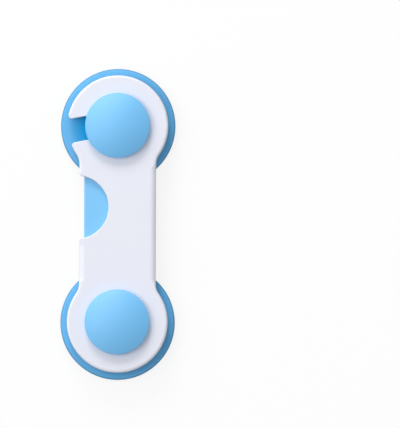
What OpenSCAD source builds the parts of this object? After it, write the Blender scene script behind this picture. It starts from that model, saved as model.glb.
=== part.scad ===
// Cabinet safety lock. Two round bases stick to the two sides of a cabinet opening.
// A hollow arm turns on the pivot post, and its hook slot closes round the keeper post.
// A sprung bolt stands in the slot behind the keeper post. The half-moon side button,
// pressed in through the finger notch, draws the bolt down so that the arm can swing off.
// Millimetres. The adhesive faces lie on Z = 0, and +Z points away from the cabinet.
// +Y runs from the pivot post to the keeper post, and the origin lies midway between them.

/* [Bases] */
// Distance between the pivot post and the keeper post
post_spacing = 86; // [82:0.5:110]
// Diameter of each round base
base_d = 50; // [47:0.5:60]
// Thickness of each base's disc
base_t = 3; // [2.6:0.1:5]
// Rounding of the base's upper edge
base_edge_r = 1; // [0.4:0.1:1.6]
// Rounding of the base's lower edge
base_foot_r = 0.4; // [0.2:0.1:0.6]
// Diameter of the neck that the arm turns on and hooks
neck_d = 9.8; // [9:0.1:10.6]
// Diameter of the raised ring that carries the arm
thrust_d = 18; // [16:0.5:22]
// Height of the raised ring
thrust_h = 0.6; // [0.3:0.1:1.2]
// Thickness of the web in the neck that the cap screw clamps
neck_web_t = 1.6; // [1.2:0.1:2]

/* [Adhesive pads] */
// Diameter of each foam pad
pad_d = 44; // [36:0.5:46]
// Thickness of each foam pad
pad_t = 1; // [0.6:0.1:2]

/* [Caps] */
// Diameter of each cap
cap_d = 28.4; // [25:0.2:31]
// Height of the cap's upright rim
cap_rim_h = 2.6; // [2.2:0.1:4]
// Height of the dome above the rim
cap_dome_h = 3.4; // [2.4:0.1:5]
// Rounding between the rim and the dome
cap_edge_r = 1; // [0.4:0.1:1.6]
// Wall of the cap round its hollow underside
cap_wall = 1.8; // [1.4:0.1:2.2]
// Diameter of the stem that fits inside the neck
stem_d = 6; // [5.4:0.1:6.6]
// Gap between the arm's face and the cap
cap_gap = 0.35; // [0.2:0.05:1]

/* [Cap screws] */
// Diameter of the cap screw's shank
cap_screw_d = 2.6; // [2.2:0.1:3]
// Diameter of the cap screw's head
cap_screw_head_d = 5; // [4.4:0.1:6]
// Height of the cap screw's head
cap_screw_head_h = 1.5; // [1.2:0.1:1.8]
// Length of shank that bites into the cap's stem
cap_screw_bite = 5; // [3.5:0.1:5.6]

/* [Arm] */
// Diameter of the arm's round ends
head_d = 44; // [42:0.5:46]
// Width of the bar between the round ends
bar_w = 33.4; // [32.4:0.2:36]
// Thickness of the whole arm
arm_t = 7; // [6.6:0.1:9]
// Rounding of the arm's upper outer edges
arm_edge_r = 2; // [1:0.1:2.4]
// Rounding of the inner corners where the bar meets the round ends
waist_r = 8; // [4:0.5:9]
// Thickness of the cover's side walls
arm_wall = 1.9; // [1.6:0.1:2.2]
// Thickness of the cover's face
arm_face_t = 2; // [1.6:0.1:2.2]
// Thickness of the back plate
back_t = 1.6; // [1.2:0.1:1.8]
// Thickness of the ribs inside the cover
rib_t = 1.2; // [0.9:0.1:1.4]
// Wall of the boss that turns on the pivot neck
pivot_wall = 2; // [1.5:0.1:3]
// Bevel on the edges of the slot and the notch
cut_bevel = 0.4; // [0.2:0.1:0.6]

/* [Hook slot] */
// Wall that lines the slot inside the arm
slot_wall = 1.5; // [1.2:0.1:1.8]
// Rounding of the two lips at the slot's mouth
lip_r = 1.4; // [0.8:0.1:1.8]
// Depth that the bolt stands into the slot
bolt_throw = 3.4; // [2.4:0.1:3.5]
// Width of the bolt along the slot
bolt_w = 5.7; // [4.5:0.1:6]

/* [Finger notch and button] */
// Radius of the half-round finger notch
notch_r = 13.8; // [12:0.1:14.4]
// Distance of the notch's centre towards the keeper from the arm's middle
notch_y = 7.3; // [6:0.1:8]
// Distance of the notch's centre outside the bar's edge
notch_out = 1; // [0.4:0.1:2]
// Rounding of the notch's corner towards the keeper
notch_high_r = 1; // [0.5:0.1:1.4]
// Rounding of the notch's corner towards the pivot
notch_low_r = 0.6; // [0.3:0.1:1.4]
// Travel of the side button, and of the bolt that it draws
button_travel = 4; // [3.9:0.1:4.4]
// Reach of the button under the cover past the notch
button_lap = 1.5; // [1:0.1:1.8]
// Reach of the button behind the side wall past each end of the notch
button_shoulder = 2; // [1.4:0.1:2.6]

/* [Bolt spring] */
// Outside diameter of the spring
spring_d = 2.7; // [2.2:0.1:2.8]
// Diameter of the spring's wire
spring_wire_d = 0.4; // [0.3:0.05:0.5]
// Length of the spring at rest
spring_l = 12; // [10:0.5:13]
// Number of turns in the spring
spring_turns = 9; // [6:1:10]

/* [Arm screws] */
// Diameter of the arm screws' shank
arm_screw_d = 2; // [1.8:0.1:2.4]
// Diameter of the arm screws' countersunk head
arm_screw_head_d = 3.8; // [3.4:0.1:4.2]
// Depth of the arm screws' countersunk head
arm_screw_head_h = 1.1; // [0.8:0.1:1.1]
// Length of the arm screws' shank below the head
arm_screw_l = 4.2; // [3.4:0.1:4.6]
// Wall of the bosses that take the arm screws
boss_wall = 1.5; // [1.2:0.1:1.8]

/* [Fits] */
// Radial running clearance between the pivot boss and its neck
run_gap = 0.05; // [0.03:0.01:0.1]
// Clearance beside the keeper neck in the slot
slot_gap = 0.3; // [0.2:0.05:0.5]
// Clearance beside sliding and nested moulded pieces
slide_gap = 0.15; // [0.1:0.05:0.25]
// Clearance between the thrust ring and the arm
thrust_gap = 0.15; // [0.1:0.05:0.3]
// Room kept between pieces that pass each other without guiding
free_gap = 0.5; // [0.4:0.1:0.7]

/* [Hidden] */
$fn = 96;

blue = "#7cc3f8";
white = "#eceef8";
steel = "#b9bcc2";
foam = "#dfe0e2";

// One overrun serves every cut that has to pass a face
over = 1;
pivot_at = [0, -post_spacing / 2];
keeper_at = [0, post_spacing / 2];

// Heights of the stack above the adhesive faces
base_top_z = pad_t + base_t;
arm_z = base_top_z + thrust_h + thrust_gap;
arm_top_z = arm_z + arm_t;
cap_z = arm_top_z + cap_gap;

// Base and post
base_r = base_d / 2;
neck_r = neck_d / 2;
neck_top_h = cap_z - pad_t;
screw_recess_gap = 0.3;
screw_recess_h = cap_screw_head_h + screw_recess_gap;
socket_z = screw_recess_h + neck_web_t;
socket_l = neck_top_h - socket_z;

// Cap
cap_r = cap_d / 2;
stem_r = stem_d / 2;
stem_end_gap = 0.3;
stem_l = socket_l - stem_end_gap;
pilot_spare_l = 0.8;
dome_r = (cap_r * cap_r + cap_dome_h * cap_dome_h) / (2 * cap_dome_h);
dome_z = cap_rim_h + cap_dome_h - dome_r;
thread_gap = 0.02;

// Arm
head_r = head_d / 2;
bar_half_w = bar_w / 2;
cavity_half_w = bar_half_w - arm_wall;
cavity_r = head_r - arm_wall;
cavity_h = arm_t - arm_face_t - back_t;
// Overlap by which a rounding runs into the walls that it joins
round_lap = 0.03;
bore_r = neck_r + run_gap;
pivot_boss_r = bore_r + pivot_wall;

// Hook slot, an arc about the pivot that carries the keeper neck out to the left
slot_half_w = neck_r + slot_gap;
slot_in_r = post_spacing - slot_half_w;
seat_gap = 0.1;
seat_r = slot_half_w + seat_gap;
slot_sweep = asin((head_r + base_edge_r) / post_spacing) + asin(slot_half_w / post_spacing);

// Finger notch
notch_at = [-bar_half_w - notch_out, notch_y];
notch_half_h = sqrt(pow(notch_r, 2) - pow(bar_half_w + notch_out - cavity_half_w, 2));

// Side button, a plate in the cavity with a thin leaf that holds the cam slot
button_t = cavity_h - 2 * slide_gap;
button_z = arm_z + back_t + slide_gap;
button_left = -cavity_half_w + slide_gap;
button_right = notch_at.x + notch_r + button_lap;
button_low = notch_y - notch_half_h - button_shoulder;
button_high = notch_y + notch_half_h + button_shoulder;
leaf_t = (button_t - slide_gap) / 2;
cam_pin_r = 1.4;
cam_slot_r = cam_pin_r + slide_gap;
leaf_margin = 1.8;

// Latch bolt, guided along Y and drawn by a pin in the button's slanting slot
guide_x = button_right + button_travel + free_gap;
stem_w = 6;
bolt_stem_x = guide_x + rib_t + slide_gap + stem_w / 2;
cam_pin_at = [bolt_stem_x, notch_y + button_travel / 2];
leaf_low = cam_pin_at.y - button_travel - cam_slot_r - leaf_margin;
leaf_high = cam_pin_at.y + cam_slot_r + leaf_margin;
leaf_right = cam_pin_at.x + cam_slot_r + leaf_margin;
tongue_gap = 0.4;
tongue_right = -neck_r - tongue_gap;
tongue_left = tongue_right - bolt_w;
tongue_bevel = 2;
slot_floor_y = pivot_at.y + sqrt(pow(slot_in_r, 2) - pow(tongue_right, 2));
tongue_top = slot_floor_y + bolt_throw;
crossbar_low = button_high + slide_gap + rib_t + button_travel + free_gap;
crossbar_h = 4;
foot_h = 1.5;
foot_top = leaf_low - free_gap;
spring_top = foot_top - foot_h;
spigot_r = (spring_d - 2 * spring_wire_d) / 2 - slide_gap;
spigot_l = 1.5;

// Bolt spring, on the bolt's centre line
spring_seat_y = spring_top - spring_l;
spring_z = button_z + button_t / 2;
spring_turn_rings = 8;
spring_sides = 6;

// Arm screws, two in each end of the arm
arm_screw_r = arm_screw_d / 2;
boss_r = arm_screw_r + boss_wall;
keeper_screw_shares = [0.43, 0.6];
pivot_screw_shares = [0.68, 0.7];
arm_screw_places = [
    for (side = [-1, 1]) each [
        keeper_at + head_r * [side * keeper_screw_shares.x, keeper_screw_shares.y],
        pivot_at + [side * bar_half_w * pivot_screw_shares.x, head_r * pivot_screw_shares.y]
    ]
];
driver_slot_share = 0.22;
driver_reach_share = 0.6;
driver_depth_share = 0.6;
screw_tip_share = 0.4;

// Stiffening ribs in the pivot half of the cover
stiffener_x_share = 0.4;

// Left-hand meeting point of two circles, seen from the first centre to the second
function circles_meet(a, ra, b, rb) =
    let (d = norm(b - a), along = (b - a) / d, k = (d * d + ra * ra - rb * rb) / (2 * d))
    a + k * along + sqrt(ra * ra - k * k) * [-along.y, along.x];

// Corner of a square profile that a rounding of radius r leaves outside
module corner_waste(r) {
    difference() {
        square(r + over);
        circle(r);
    }
}

// Kite from a point along two directions, less a round of radius r about that point
module fan_waste(at, direction_a, direction_b, r) {
    reach = 2 * r;
    translate(at) difference() {
        polygon([[0, 0], reach * direction_a, reach * (direction_a + direction_b), reach * direction_b]);
        circle(r);
    }
}

// Foam disc between a base and the cabinet
module adhesive_pad(at) {
    color(foam) translate(at) cylinder(h = pad_t, d = pad_d);
}

// Half section of a base with its thrust ring and hollow neck, from the base's underside
module base_profile() {
    difference() {
        union() {
            difference() {
                square([base_r, base_t]);
                translate([base_r - base_edge_r, base_t - base_edge_r]) corner_waste(base_edge_r);
                translate([base_r - base_foot_r, base_foot_r]) mirror([0, 1]) corner_waste(base_foot_r);
            }
            square([thrust_d / 2, base_t + thrust_h]);
            square([neck_r, neck_top_h]);
        }
        translate([0, -over]) square([cap_screw_head_d / 2 + screw_recess_gap, screw_recess_h + over]);
        square([cap_screw_d / 2 + slide_gap, neck_top_h]);
        translate([0, socket_z]) square([stem_r + slide_gap, socket_l + over]);
    }
}

module base(at) {
    color(blue) translate([at.x, at.y, pad_t]) rotate_extrude() base_profile();
}

// Half section of a domed cap with its hollow underside and its stem, from the rim's lower edge
module cap_profile() {
    edge_x = cap_r - cap_edge_r;
    edge_z = dome_z + sqrt(pow(dome_r - cap_edge_r, 2) - edge_x * edge_x);
    difference() {
        intersection() {
            translate([0, dome_z]) circle(dome_r);
            square([cap_r, cap_rim_h + cap_dome_h]);
        }
        fan_waste([edge_x, edge_z], [1, 0], [edge_x, edge_z - dome_z] / (dome_r - cap_edge_r), cap_edge_r);
        intersection() {
            translate([0, dome_z]) circle(dome_r - cap_wall);
            translate([neck_r, -over]) square([cap_r - cap_wall - neck_r, cap_rim_h + cap_dome_h]);
        }
        square([cap_screw_d / 2 + thread_gap, pilot_spare_l]);
    }
    difference() {
        translate([0, -stem_l]) square([stem_r, stem_l + pilot_spare_l]);
        translate([0, -stem_l - over]) {
            square([cap_screw_d / 2 + thread_gap, over + stem_l + pilot_spare_l]);
        }
    }
}

module cap(at) {
    color(blue) translate([at.x, at.y, cap_z]) rotate_extrude() cap_profile();
}

// Two crossing slots for a screwdriver, cut upwards into a head whose face is at Z = 0
module driver_cross(head_d, head_h) {
    for (turn = [0, 90]) {
        rotate(turn) translate([-driver_reach_share, -driver_slot_share / 2, 0] * head_d / 2 - [0, 0, over]) {
            cube([driver_reach_share * head_d, driver_slot_share * head_d / 2, driver_depth_share * head_h + over]);
        }
    }
}

// Pan-head screw that draws a cap's stem down into the neck, entered from the back
module cap_screw(at) {
    shank_l = neck_web_t + stem_end_gap + cap_screw_bite;
    tip_l = screw_tip_share * cap_screw_d;
    color(steel) translate([at.x, at.y, pad_t + screw_recess_gap]) difference() {
        union() {
            cylinder(h = cap_screw_head_h, d = cap_screw_head_d);
            cylinder(h = cap_screw_head_h + shank_l - tip_l, d = cap_screw_d);
            translate([0, 0, cap_screw_head_h + shank_l - tip_l]) {
                cylinder(h = tip_l, r1 = cap_screw_d / 2, r2 = cap_screw_d / 2 - tip_l / 2);
            }
        }
        driver_cross(cap_screw_head_d, cap_screw_head_h);
    }
}

// Round end of the arm with its rounded upper edge
module head_solid(at) {
    translate(at) rotate_extrude() difference() {
        square([head_r, arm_t]);
        translate([head_r - arm_edge_r, arm_t - arm_edge_r]) corner_waste(arm_edge_r);
    }
}

// Bar between the round ends, with both upper edges rounded
module bar_solid() {
    rotate([90, 0, 0]) linear_extrude(height = post_spacing, center = true) difference() {
        translate([-bar_half_w, 0]) square([bar_w, arm_t]);
        for (side = [0, 1]) mirror([side, 0]) {
            translate([bar_half_w - arm_edge_r, arm_t - arm_edge_r]) corner_waste(arm_edge_r);
        }
    }
}

// Fillet between the bar and a round end about the origin, with the same rounded upper edge
module waist_fillet() {
    reach = head_r + waist_r - round_lap;
    out = bar_half_w + waist_r - round_lap;
    up = sqrt(pow(reach, 2) - pow(out, 2));
    translate([out, up]) rotate(180) rotate_extrude(angle = atan2(up, out)) difference() {
        translate([waist_r, 0]) square([2 * arm_edge_r, arm_t]);
        translate([waist_r + arm_edge_r, arm_t - arm_edge_r]) mirror([1, 0]) corner_waste(arm_edge_r);
    }
}

// Plan of the arm inside its walls, shrunk by a clearance
module cavity_plan(gap) {
    for (at = [pivot_at, keeper_at]) translate(at) circle(cavity_r - gap);
    square([2 * (cavity_half_w - gap), post_spacing], center = true);
}

// Arc band and seat of the hook slot, widened by a margin all round
module slot_solid(h, margin) {
    translate([pivot_at.x, pivot_at.y, 0]) rotate(90) rotate_extrude(angle = slot_sweep) {
        translate([slot_in_r - margin, 0]) square([2 * (slot_half_w + margin), h]);
    }
    translate(keeper_at) cylinder(h = h, r = seat_r + margin);
}

// What the slot takes out of the cover: the slot itself, its bevelled edge and its rounded lips
module slot_cut() {
    in_lip = circles_meet(pivot_at, slot_in_r - lip_r, keeper_at, head_r - lip_r);
    out_lip = circles_meet(pivot_at, slot_in_r + 2 * slot_half_w + lip_r, keeper_at, head_r - lip_r);
    translate([0, 0, -over]) {
        slot_solid(arm_t + 2 * over, 0);
        linear_extrude(height = arm_t + 2 * over) {
            fan_waste(in_lip, (in_lip - pivot_at) / norm(in_lip - pivot_at),
                (in_lip - keeper_at) / norm(in_lip - keeper_at), lip_r);
            fan_waste(out_lip, (pivot_at - out_lip) / norm(out_lip - pivot_at),
                (out_lip - keeper_at) / norm(out_lip - keeper_at), lip_r);
        }
    }
    translate([pivot_at.x, pivot_at.y, arm_t - cut_bevel]) rotate(90) rotate_extrude(angle = slot_sweep) {
        translate([post_spacing, 0]) polygon([
            [-slot_half_w, 0], [slot_half_w, 0],
            [slot_half_w + cut_bevel + over, cut_bevel + over], [-slot_half_w - cut_bevel - over, cut_bevel + over]
        ]);
    }
}

// Centre of the rounding of a notch corner, on the keeper's side for 1 and the pivot's for -1
function notch_corner(side, r) =
    let (reach = notch_r + r - round_lap, out = notch_out + r - round_lap)
    notch_at + [out, side * sqrt(pow(reach, 2) - pow(out, 2))];

// What the finger notch takes out of the cover, with its bevelled edge and its rounded corners
module notch_cut() {
    high_at = notch_corner(1, notch_high_r);
    low_at = notch_corner(-1, notch_low_r);
    translate([notch_at.x, notch_at.y, -over]) cylinder(h = arm_t + 2 * over, r = notch_r);
    translate([0, 0, -over]) linear_extrude(height = arm_t + 2 * over) {
        fan_waste(high_at, [-1, 0], (notch_at - high_at) / norm(notch_at - high_at), notch_high_r);
        fan_waste(low_at, [-1, 0], (notch_at - low_at) / norm(notch_at - low_at), notch_low_r);
    }
    translate([notch_at.x, notch_at.y, arm_t - cut_bevel]) {
        cylinder(h = cut_bevel + over, r1 = notch_r, r2 = notch_r + cut_bevel + over);
    }
}

// Ribs under the cover's face that guide the button and the bolt, seat the spring and stiffen the bar
module inner_ribs() {
    guide_l = guide_x + rib_t + cavity_half_w;
    foot_travel_low = spring_seat_y - rib_t;
    stem_side = stem_w / 2 + slide_gap;
    stiffener_x = stiffener_x_share * cavity_half_w;
    translate([0, 0, back_t]) linear_extrude(height = cavity_h) {
        translate([-cavity_half_w, button_high + slide_gap]) square([guide_l, rib_t]);
        translate([-cavity_half_w, button_low - slide_gap - rib_t]) square([guide_l, rib_t]);
        for (x = [bolt_stem_x - stem_side - rib_t, bolt_stem_x + stem_side]) {
            translate([x, foot_travel_low]) square([rib_t, foot_top - foot_travel_low]);
        }
        translate([bolt_stem_x - stem_side, foot_travel_low]) square([2 * stem_side, rib_t]);
        for (side = [-1, 1]) translate([side * stiffener_x - rib_t / 2, pivot_at.y]) {
            square([rib_t, foot_travel_low - pivot_at.y]);
        }
    }
}

// Bosses under the cover's face that take the arm screws
module screw_bosses() {
    for (at = arm_screw_places) translate([at.x, at.y, back_t]) cylinder(h = cavity_h, r = boss_r);
}

// White upper shell of the arm
module arm_cover() {
    window_low = slot_floor_y - 2 * slot_wall;
    color(white) translate([0, 0, arm_z]) difference() {
        union() {
            difference() {
                union() {
                    head_solid(pivot_at);
                    head_solid(keeper_at);
                    bar_solid();
                    for (side = [0, 1]) mirror([side, 0, 0]) {
                        translate(pivot_at) waist_fillet();
                        translate(keeper_at) mirror([0, 1, 0]) waist_fillet();
                    }
                }
                translate([0, 0, -over]) linear_extrude(height = arm_t - arm_face_t + over) cavity_plan(0);
            }
            intersection() {
                slot_solid(arm_t - arm_face_t, slot_wall);
                translate(keeper_at) cylinder(h = arm_t, r = cavity_r);
            }
            translate(pivot_at) cylinder(h = arm_t - arm_face_t, r = pivot_boss_r);
            inner_ribs();
            screw_bosses();
        }
        slot_cut();
        notch_cut();
        translate([pivot_at.x, pivot_at.y, -over]) cylinder(h = arm_t + 2 * over, r = bore_r);
        translate([tongue_left - slide_gap, window_low, back_t]) {
            cube([bolt_w + 2 * slide_gap, tongue_top - window_low, cavity_h]);
        }
        for (at = arm_screw_places) translate([at.x, at.y, -over]) {
            cylinder(h = arm_screw_head_h + arm_screw_l + over + pilot_spare_l, r = arm_screw_r + thread_gap);
        }
    }
}

// White plate that closes the cover from behind
module arm_back_plate() {
    color(white) translate([0, 0, arm_z]) difference() {
        linear_extrude(height = back_t) cavity_plan(slide_gap);
        translate([0, 0, -over]) {
            slot_solid(back_t + 2 * over, slot_wall + slide_gap);
            translate(pivot_at) cylinder(h = back_t + 2 * over, r = pivot_boss_r + slide_gap);
            for (at = arm_screw_places) translate(at) {
                cylinder(h = back_t + 2 * over, r = arm_screw_r + slide_gap);
                translate([0, 0, over]) cylinder(
                    h = arm_screw_head_h + slide_gap,
                    r1 = arm_screw_head_d / 2 + slide_gap,
                    r2 = arm_screw_r + slide_gap);
            }
        }
    }
}

// Four countersunk screws, entered from the back
module arm_screws() {
    tip_l = screw_tip_share * arm_screw_d;
    color(steel) for (at = arm_screw_places) translate([at.x, at.y, arm_z]) difference() {
        union() {
            cylinder(h = arm_screw_head_h, r1 = arm_screw_head_d / 2, r2 = arm_screw_r);
            cylinder(h = arm_screw_head_h + arm_screw_l - tip_l, r = arm_screw_r);
            translate([0, 0, arm_screw_head_h + arm_screw_l - tip_l]) {
                cylinder(h = tip_l, r1 = arm_screw_r, r2 = arm_screw_r - tip_l / 2);
            }
        }
        driver_cross(arm_screw_head_d, arm_screw_head_h);
    }
}

// Blue half-moon button: a plate behind the notch, and a leaf with the slanting cam slot
module side_button() {
    leaf_z = button_t - leaf_t;
    slot_run = sqrt(2) * button_travel;
    color(blue) translate([0, 0, button_z]) difference() {
        union() {
            translate([button_left, button_low, 0]) {
                cube([button_right - button_left, button_high - button_low, button_t]);
            }
            translate([button_right - leaf_margin, leaf_low, leaf_z]) {
                cube([leaf_right - button_right + leaf_margin, leaf_high - leaf_low, leaf_t]);
            }
        }
        translate([cam_pin_at.x, cam_pin_at.y, leaf_z - over]) linear_extrude(height = leaf_t + 2 * over) {
            circle(cam_slot_r);
            rotate(-135) translate([0, -cam_slot_r]) square([slot_run, 2 * cam_slot_r]);
            translate([-button_travel, -button_travel]) circle(cam_slot_r);
        }
    }
}

// Blue sliding bolt: a tongue in the slot, a crossbar, and a stem with the cam pin and spring foot
module latch_bolt() {
    stem_left = bolt_stem_x - stem_w / 2;
    color(blue) translate([0, 0, button_z]) {
        linear_extrude(height = button_t) polygon([
            [tongue_left, crossbar_low], [bolt_stem_x + stem_w / 2, crossbar_low],
            [bolt_stem_x + stem_w / 2, crossbar_low + crossbar_h], [tongue_right, crossbar_low + crossbar_h],
            [tongue_right, tongue_top], [tongue_left + tongue_bevel, tongue_top],
            [tongue_left, tongue_top - tongue_bevel]
        ]);
        translate([stem_left, spring_top, 0]) cube([stem_w, crossbar_low + crossbar_h - spring_top, leaf_t]);
        translate([stem_left, spring_top, 0]) cube([stem_w, foot_h, button_t]);
        translate(cam_pin_at) cylinder(h = button_t, r = cam_pin_r);
        translate([bolt_stem_x, spring_top + foot_h / 2, button_t / 2]) rotate([90, 0, 0]) {
            cylinder(h = spigot_l + foot_h / 2, r = spigot_r);
        }
    }
}

// Middle of the wire at a share of the spring's run
function spring_centre(share) =
    let (
        turn_r = (spring_d - spring_wire_d) / 2,
        rise = spring_l - spring_wire_d,
        angle = 360 * spring_turns * share
    )
    [turn_r * cos(angle), spring_seat_y + spring_wire_d / 2 + rise * share, turn_r * sin(angle)];

// Points round the wire at a share of the spring's run
function spring_ring(share) =
    let (angle = 360 * spring_turns * share)
    [for (i = [0 : spring_sides - 1])
        let (a = 360 * i / spring_sides, out = spring_wire_d / 2 * cos(a), up = spring_wire_d / 2 * sin(a))
        spring_centre(share) + [out * cos(angle), up, out * sin(angle)]];

// Least gap between one turn of the wire and the next
function spring_gap() =
    let (rings = spring_turns * spring_turn_rings)
    min([for (k = [0 : rings - spring_turn_rings])
        norm(spring_centre((k + spring_turn_rings) / rings) - spring_centre(k / rings))]) - spring_wire_d;

// Compression spring between the seat rib and the bolt's foot
module bolt_spring() {
    rings = spring_turns * spring_turn_rings;
    echo(least_gap_between_turns = spring_gap());
    points = [for (k = [0 : rings]) each spring_ring(k / rings)];
    last = rings * spring_sides;
    walls = [for (k = [0 : rings - 1], i = [0 : spring_sides - 1])
        let (a = k * spring_sides, b = a + spring_sides, j = (i + 1) % spring_sides)
        each [[a + i, a + j, b + j], [a + i, b + j, b + i]]];
    ends = [for (i = [1 : spring_sides - 2]) each [[0, i + 1, i], [last, last + i, last + i + 1]]];
    color(steel) translate([bolt_stem_x, 0, spring_z]) polyhedron(points, concat(walls, ends));
}

adhesive_pad(pivot_at);  // pivot_adhesive_pad
base(pivot_at);  // pivot_base
cap_screw(pivot_at);  // pivot_cap_screw
cap(pivot_at);  // pivot_cap
adhesive_pad(keeper_at);  // keeper_adhesive_pad
base(keeper_at);  // keeper_base
cap_screw(keeper_at);  // keeper_cap_screw
cap(keeper_at);  // keeper_cap
arm_cover();
arm_back_plate();
arm_screws();
side_button();
latch_bolt();
bolt_spring();
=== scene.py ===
"""Cabinet safety lock: smooth mouldings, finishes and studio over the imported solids.

The lock lies on its adhesive pads, as packed. Plan points are complex numbers, x + yj, in metres.
An outline always has its material on the left of its heading.
"""

import logging
import math
from dataclasses import dataclass, field
from enum import Enum
from typing import Optional, Sequence, Union

import bmesh
import bpy
import numpy as np
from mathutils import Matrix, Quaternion, Vector
from mathutils.geometry import delaunay_2d_cdt


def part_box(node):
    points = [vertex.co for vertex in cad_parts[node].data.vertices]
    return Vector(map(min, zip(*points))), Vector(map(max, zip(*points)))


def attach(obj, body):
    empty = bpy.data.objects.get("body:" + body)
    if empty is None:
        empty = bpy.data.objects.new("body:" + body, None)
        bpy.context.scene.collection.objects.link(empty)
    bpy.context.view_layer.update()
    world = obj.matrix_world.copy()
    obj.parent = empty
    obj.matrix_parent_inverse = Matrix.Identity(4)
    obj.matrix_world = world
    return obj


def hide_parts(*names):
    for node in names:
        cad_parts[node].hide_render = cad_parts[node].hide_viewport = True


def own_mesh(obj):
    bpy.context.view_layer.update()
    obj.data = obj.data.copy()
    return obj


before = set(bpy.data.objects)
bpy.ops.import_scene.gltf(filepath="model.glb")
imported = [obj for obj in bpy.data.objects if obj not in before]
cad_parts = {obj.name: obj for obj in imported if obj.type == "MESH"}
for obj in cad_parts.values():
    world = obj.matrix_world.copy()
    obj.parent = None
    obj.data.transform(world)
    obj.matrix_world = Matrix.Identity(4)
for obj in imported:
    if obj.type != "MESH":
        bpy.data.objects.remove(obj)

MM = 0.001
FULL_TURN = 2.0 * math.pi
MERGE_DISTANCE = 0.0001 * MM
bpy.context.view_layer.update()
LOG = logging.getLogger("cabinet_lock")


class Slot(Enum):
    """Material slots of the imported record."""

    BLUE = "blue_plastic"
    WHITE = "white_plastic"
    STEEL = "steel"
    FOAM = "foam"


class Look(Enum):
    """Finishes of the lock, three of which share the blue slot."""

    CAP_BLUE = "cap_blue"
    BUTTON_BLUE = "button_blue"
    BASE_BLUE = "base_blue"
    WHITE = "white"
    STEEL = "steel"
    FOAM = "foam"

    @property
    def slot(self) -> Slot:
        """The slot of the record that the finish belongs to."""
        slots = {Look.WHITE: Slot.WHITE, Look.STEEL: Slot.STEEL, Look.FOAM: Slot.FOAM}
        return slots.get(self, Slot.BLUE)


class Body(Enum):
    """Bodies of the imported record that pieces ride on."""

    BASES = "bases"
    ARM = "arm"
    BUTTON = "button"
    BOLT = "bolt"


class End(Enum):
    """The two base assemblies, by the start of their nodes' names."""

    PIVOT = "pivot"
    KEEPER = "keeper"


@dataclass(frozen=True)
class NodeBox:
    """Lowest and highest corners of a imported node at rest."""

    low: np.ndarray
    high: np.ndarray

    @classmethod
    def of(cls, node: str) -> "NodeBox":
        """Returns the box of a node.

        Args:
            node: The node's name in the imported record.

        Returns:
            The node's box in metres.
        """
        low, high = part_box(node)
        return cls(np.array(low, dtype=float), np.array(high, dtype=float))

    @property
    def plan_centre(self) -> complex:
        """Returns the middle of the box in plan."""
        middle = (self.low + self.high) / 2.0
        return complex(middle[0], middle[1])

    @property
    def radius(self) -> float:
        """Returns half the width of the box, which is the radius of a turned piece."""
        return (self.high[0] - self.low[0]) / 2.0


@dataclass(frozen=True)
class Straight:
    """A straight track of an outline, through a point along a unit heading."""

    point: complex
    heading: complex

    def shifted(self, distance: float) -> "Straight":
        """Returns the track moved to its left."""
        return Straight(self.point + 1j * self.heading * distance, self.heading)

    def nearest(self, at: complex) -> complex:
        """Returns the foot of a point on the track."""
        return self.point + ((at - self.point) * self.heading.conjugate()).real * self.heading

    def heading_at(self, at: complex) -> complex:
        """Returns the heading, which is the same at every point."""
        return self.heading

    def run(self, start: complex, stop: complex, spacing: float) -> tuple[np.ndarray, np.ndarray]:
        """Samples the track evenly from start up to, but without, stop.

        Args:
            start: First point.
            stop: Point that the next stretch starts at.
            spacing: Largest distance between samples.

        Returns:
            Points and unit headings.
        """
        count = max(1, math.ceil(abs(stop - start) / spacing))
        share = np.arange(count) / count
        return start + (stop - start) * share, np.full(count, self.heading, dtype=complex)


@dataclass(frozen=True)
class Round:
    """A circular track of an outline. A turn of 1 runs anticlockwise, and -1 clockwise."""

    centre: complex
    radius: float
    turn: int

    LARGEST_STEP = math.radians(6.0)

    def shifted(self, distance: float) -> "Round":
        """Returns the track moved to its left, which narrows an anticlockwise circle."""
        return Round(self.centre, self.radius - self.turn * distance, self.turn)

    def nearest(self, at: complex) -> complex:
        """Returns the point of the circle on the spoke through a point."""
        return self.centre + self.radius * (at - self.centre) / abs(at - self.centre)

    def heading_at(self, at: complex) -> complex:
        """Returns the unit tangent at a point, a quarter turn from its spoke."""
        return 1j * self.turn * (at - self.centre) / abs(at - self.centre)

    def run(self, start: complex, stop: complex, spacing: float) -> tuple[np.ndarray, np.ndarray]:
        """Samples the arc evenly in angle from start up to, but without, stop.

        Args:
            start: First point. Where it equals stop, the run is the whole circle.
            stop: Point that the next stretch starts at.
            spacing: Largest distance between samples. No step turns by more than LARGEST_STEP.

        Returns:
            Points and unit headings.
        """
        first = np.angle(start - self.centre)
        sweep = (self.turn * (np.angle(stop - self.centre) - first)) % FULL_TURN
        if abs(stop - start) < MERGE_DISTANCE:
            sweep = FULL_TURN
        step = min(spacing / self.radius, self.LARGEST_STEP)
        count = max(2, math.ceil(sweep / step))
        spokes = np.exp(1j * (first + self.turn * sweep * np.arange(count) / count))
        return self.centre + self.radius * spokes, 1j * self.turn * spokes


Track = Union[Straight, Round]


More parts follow.
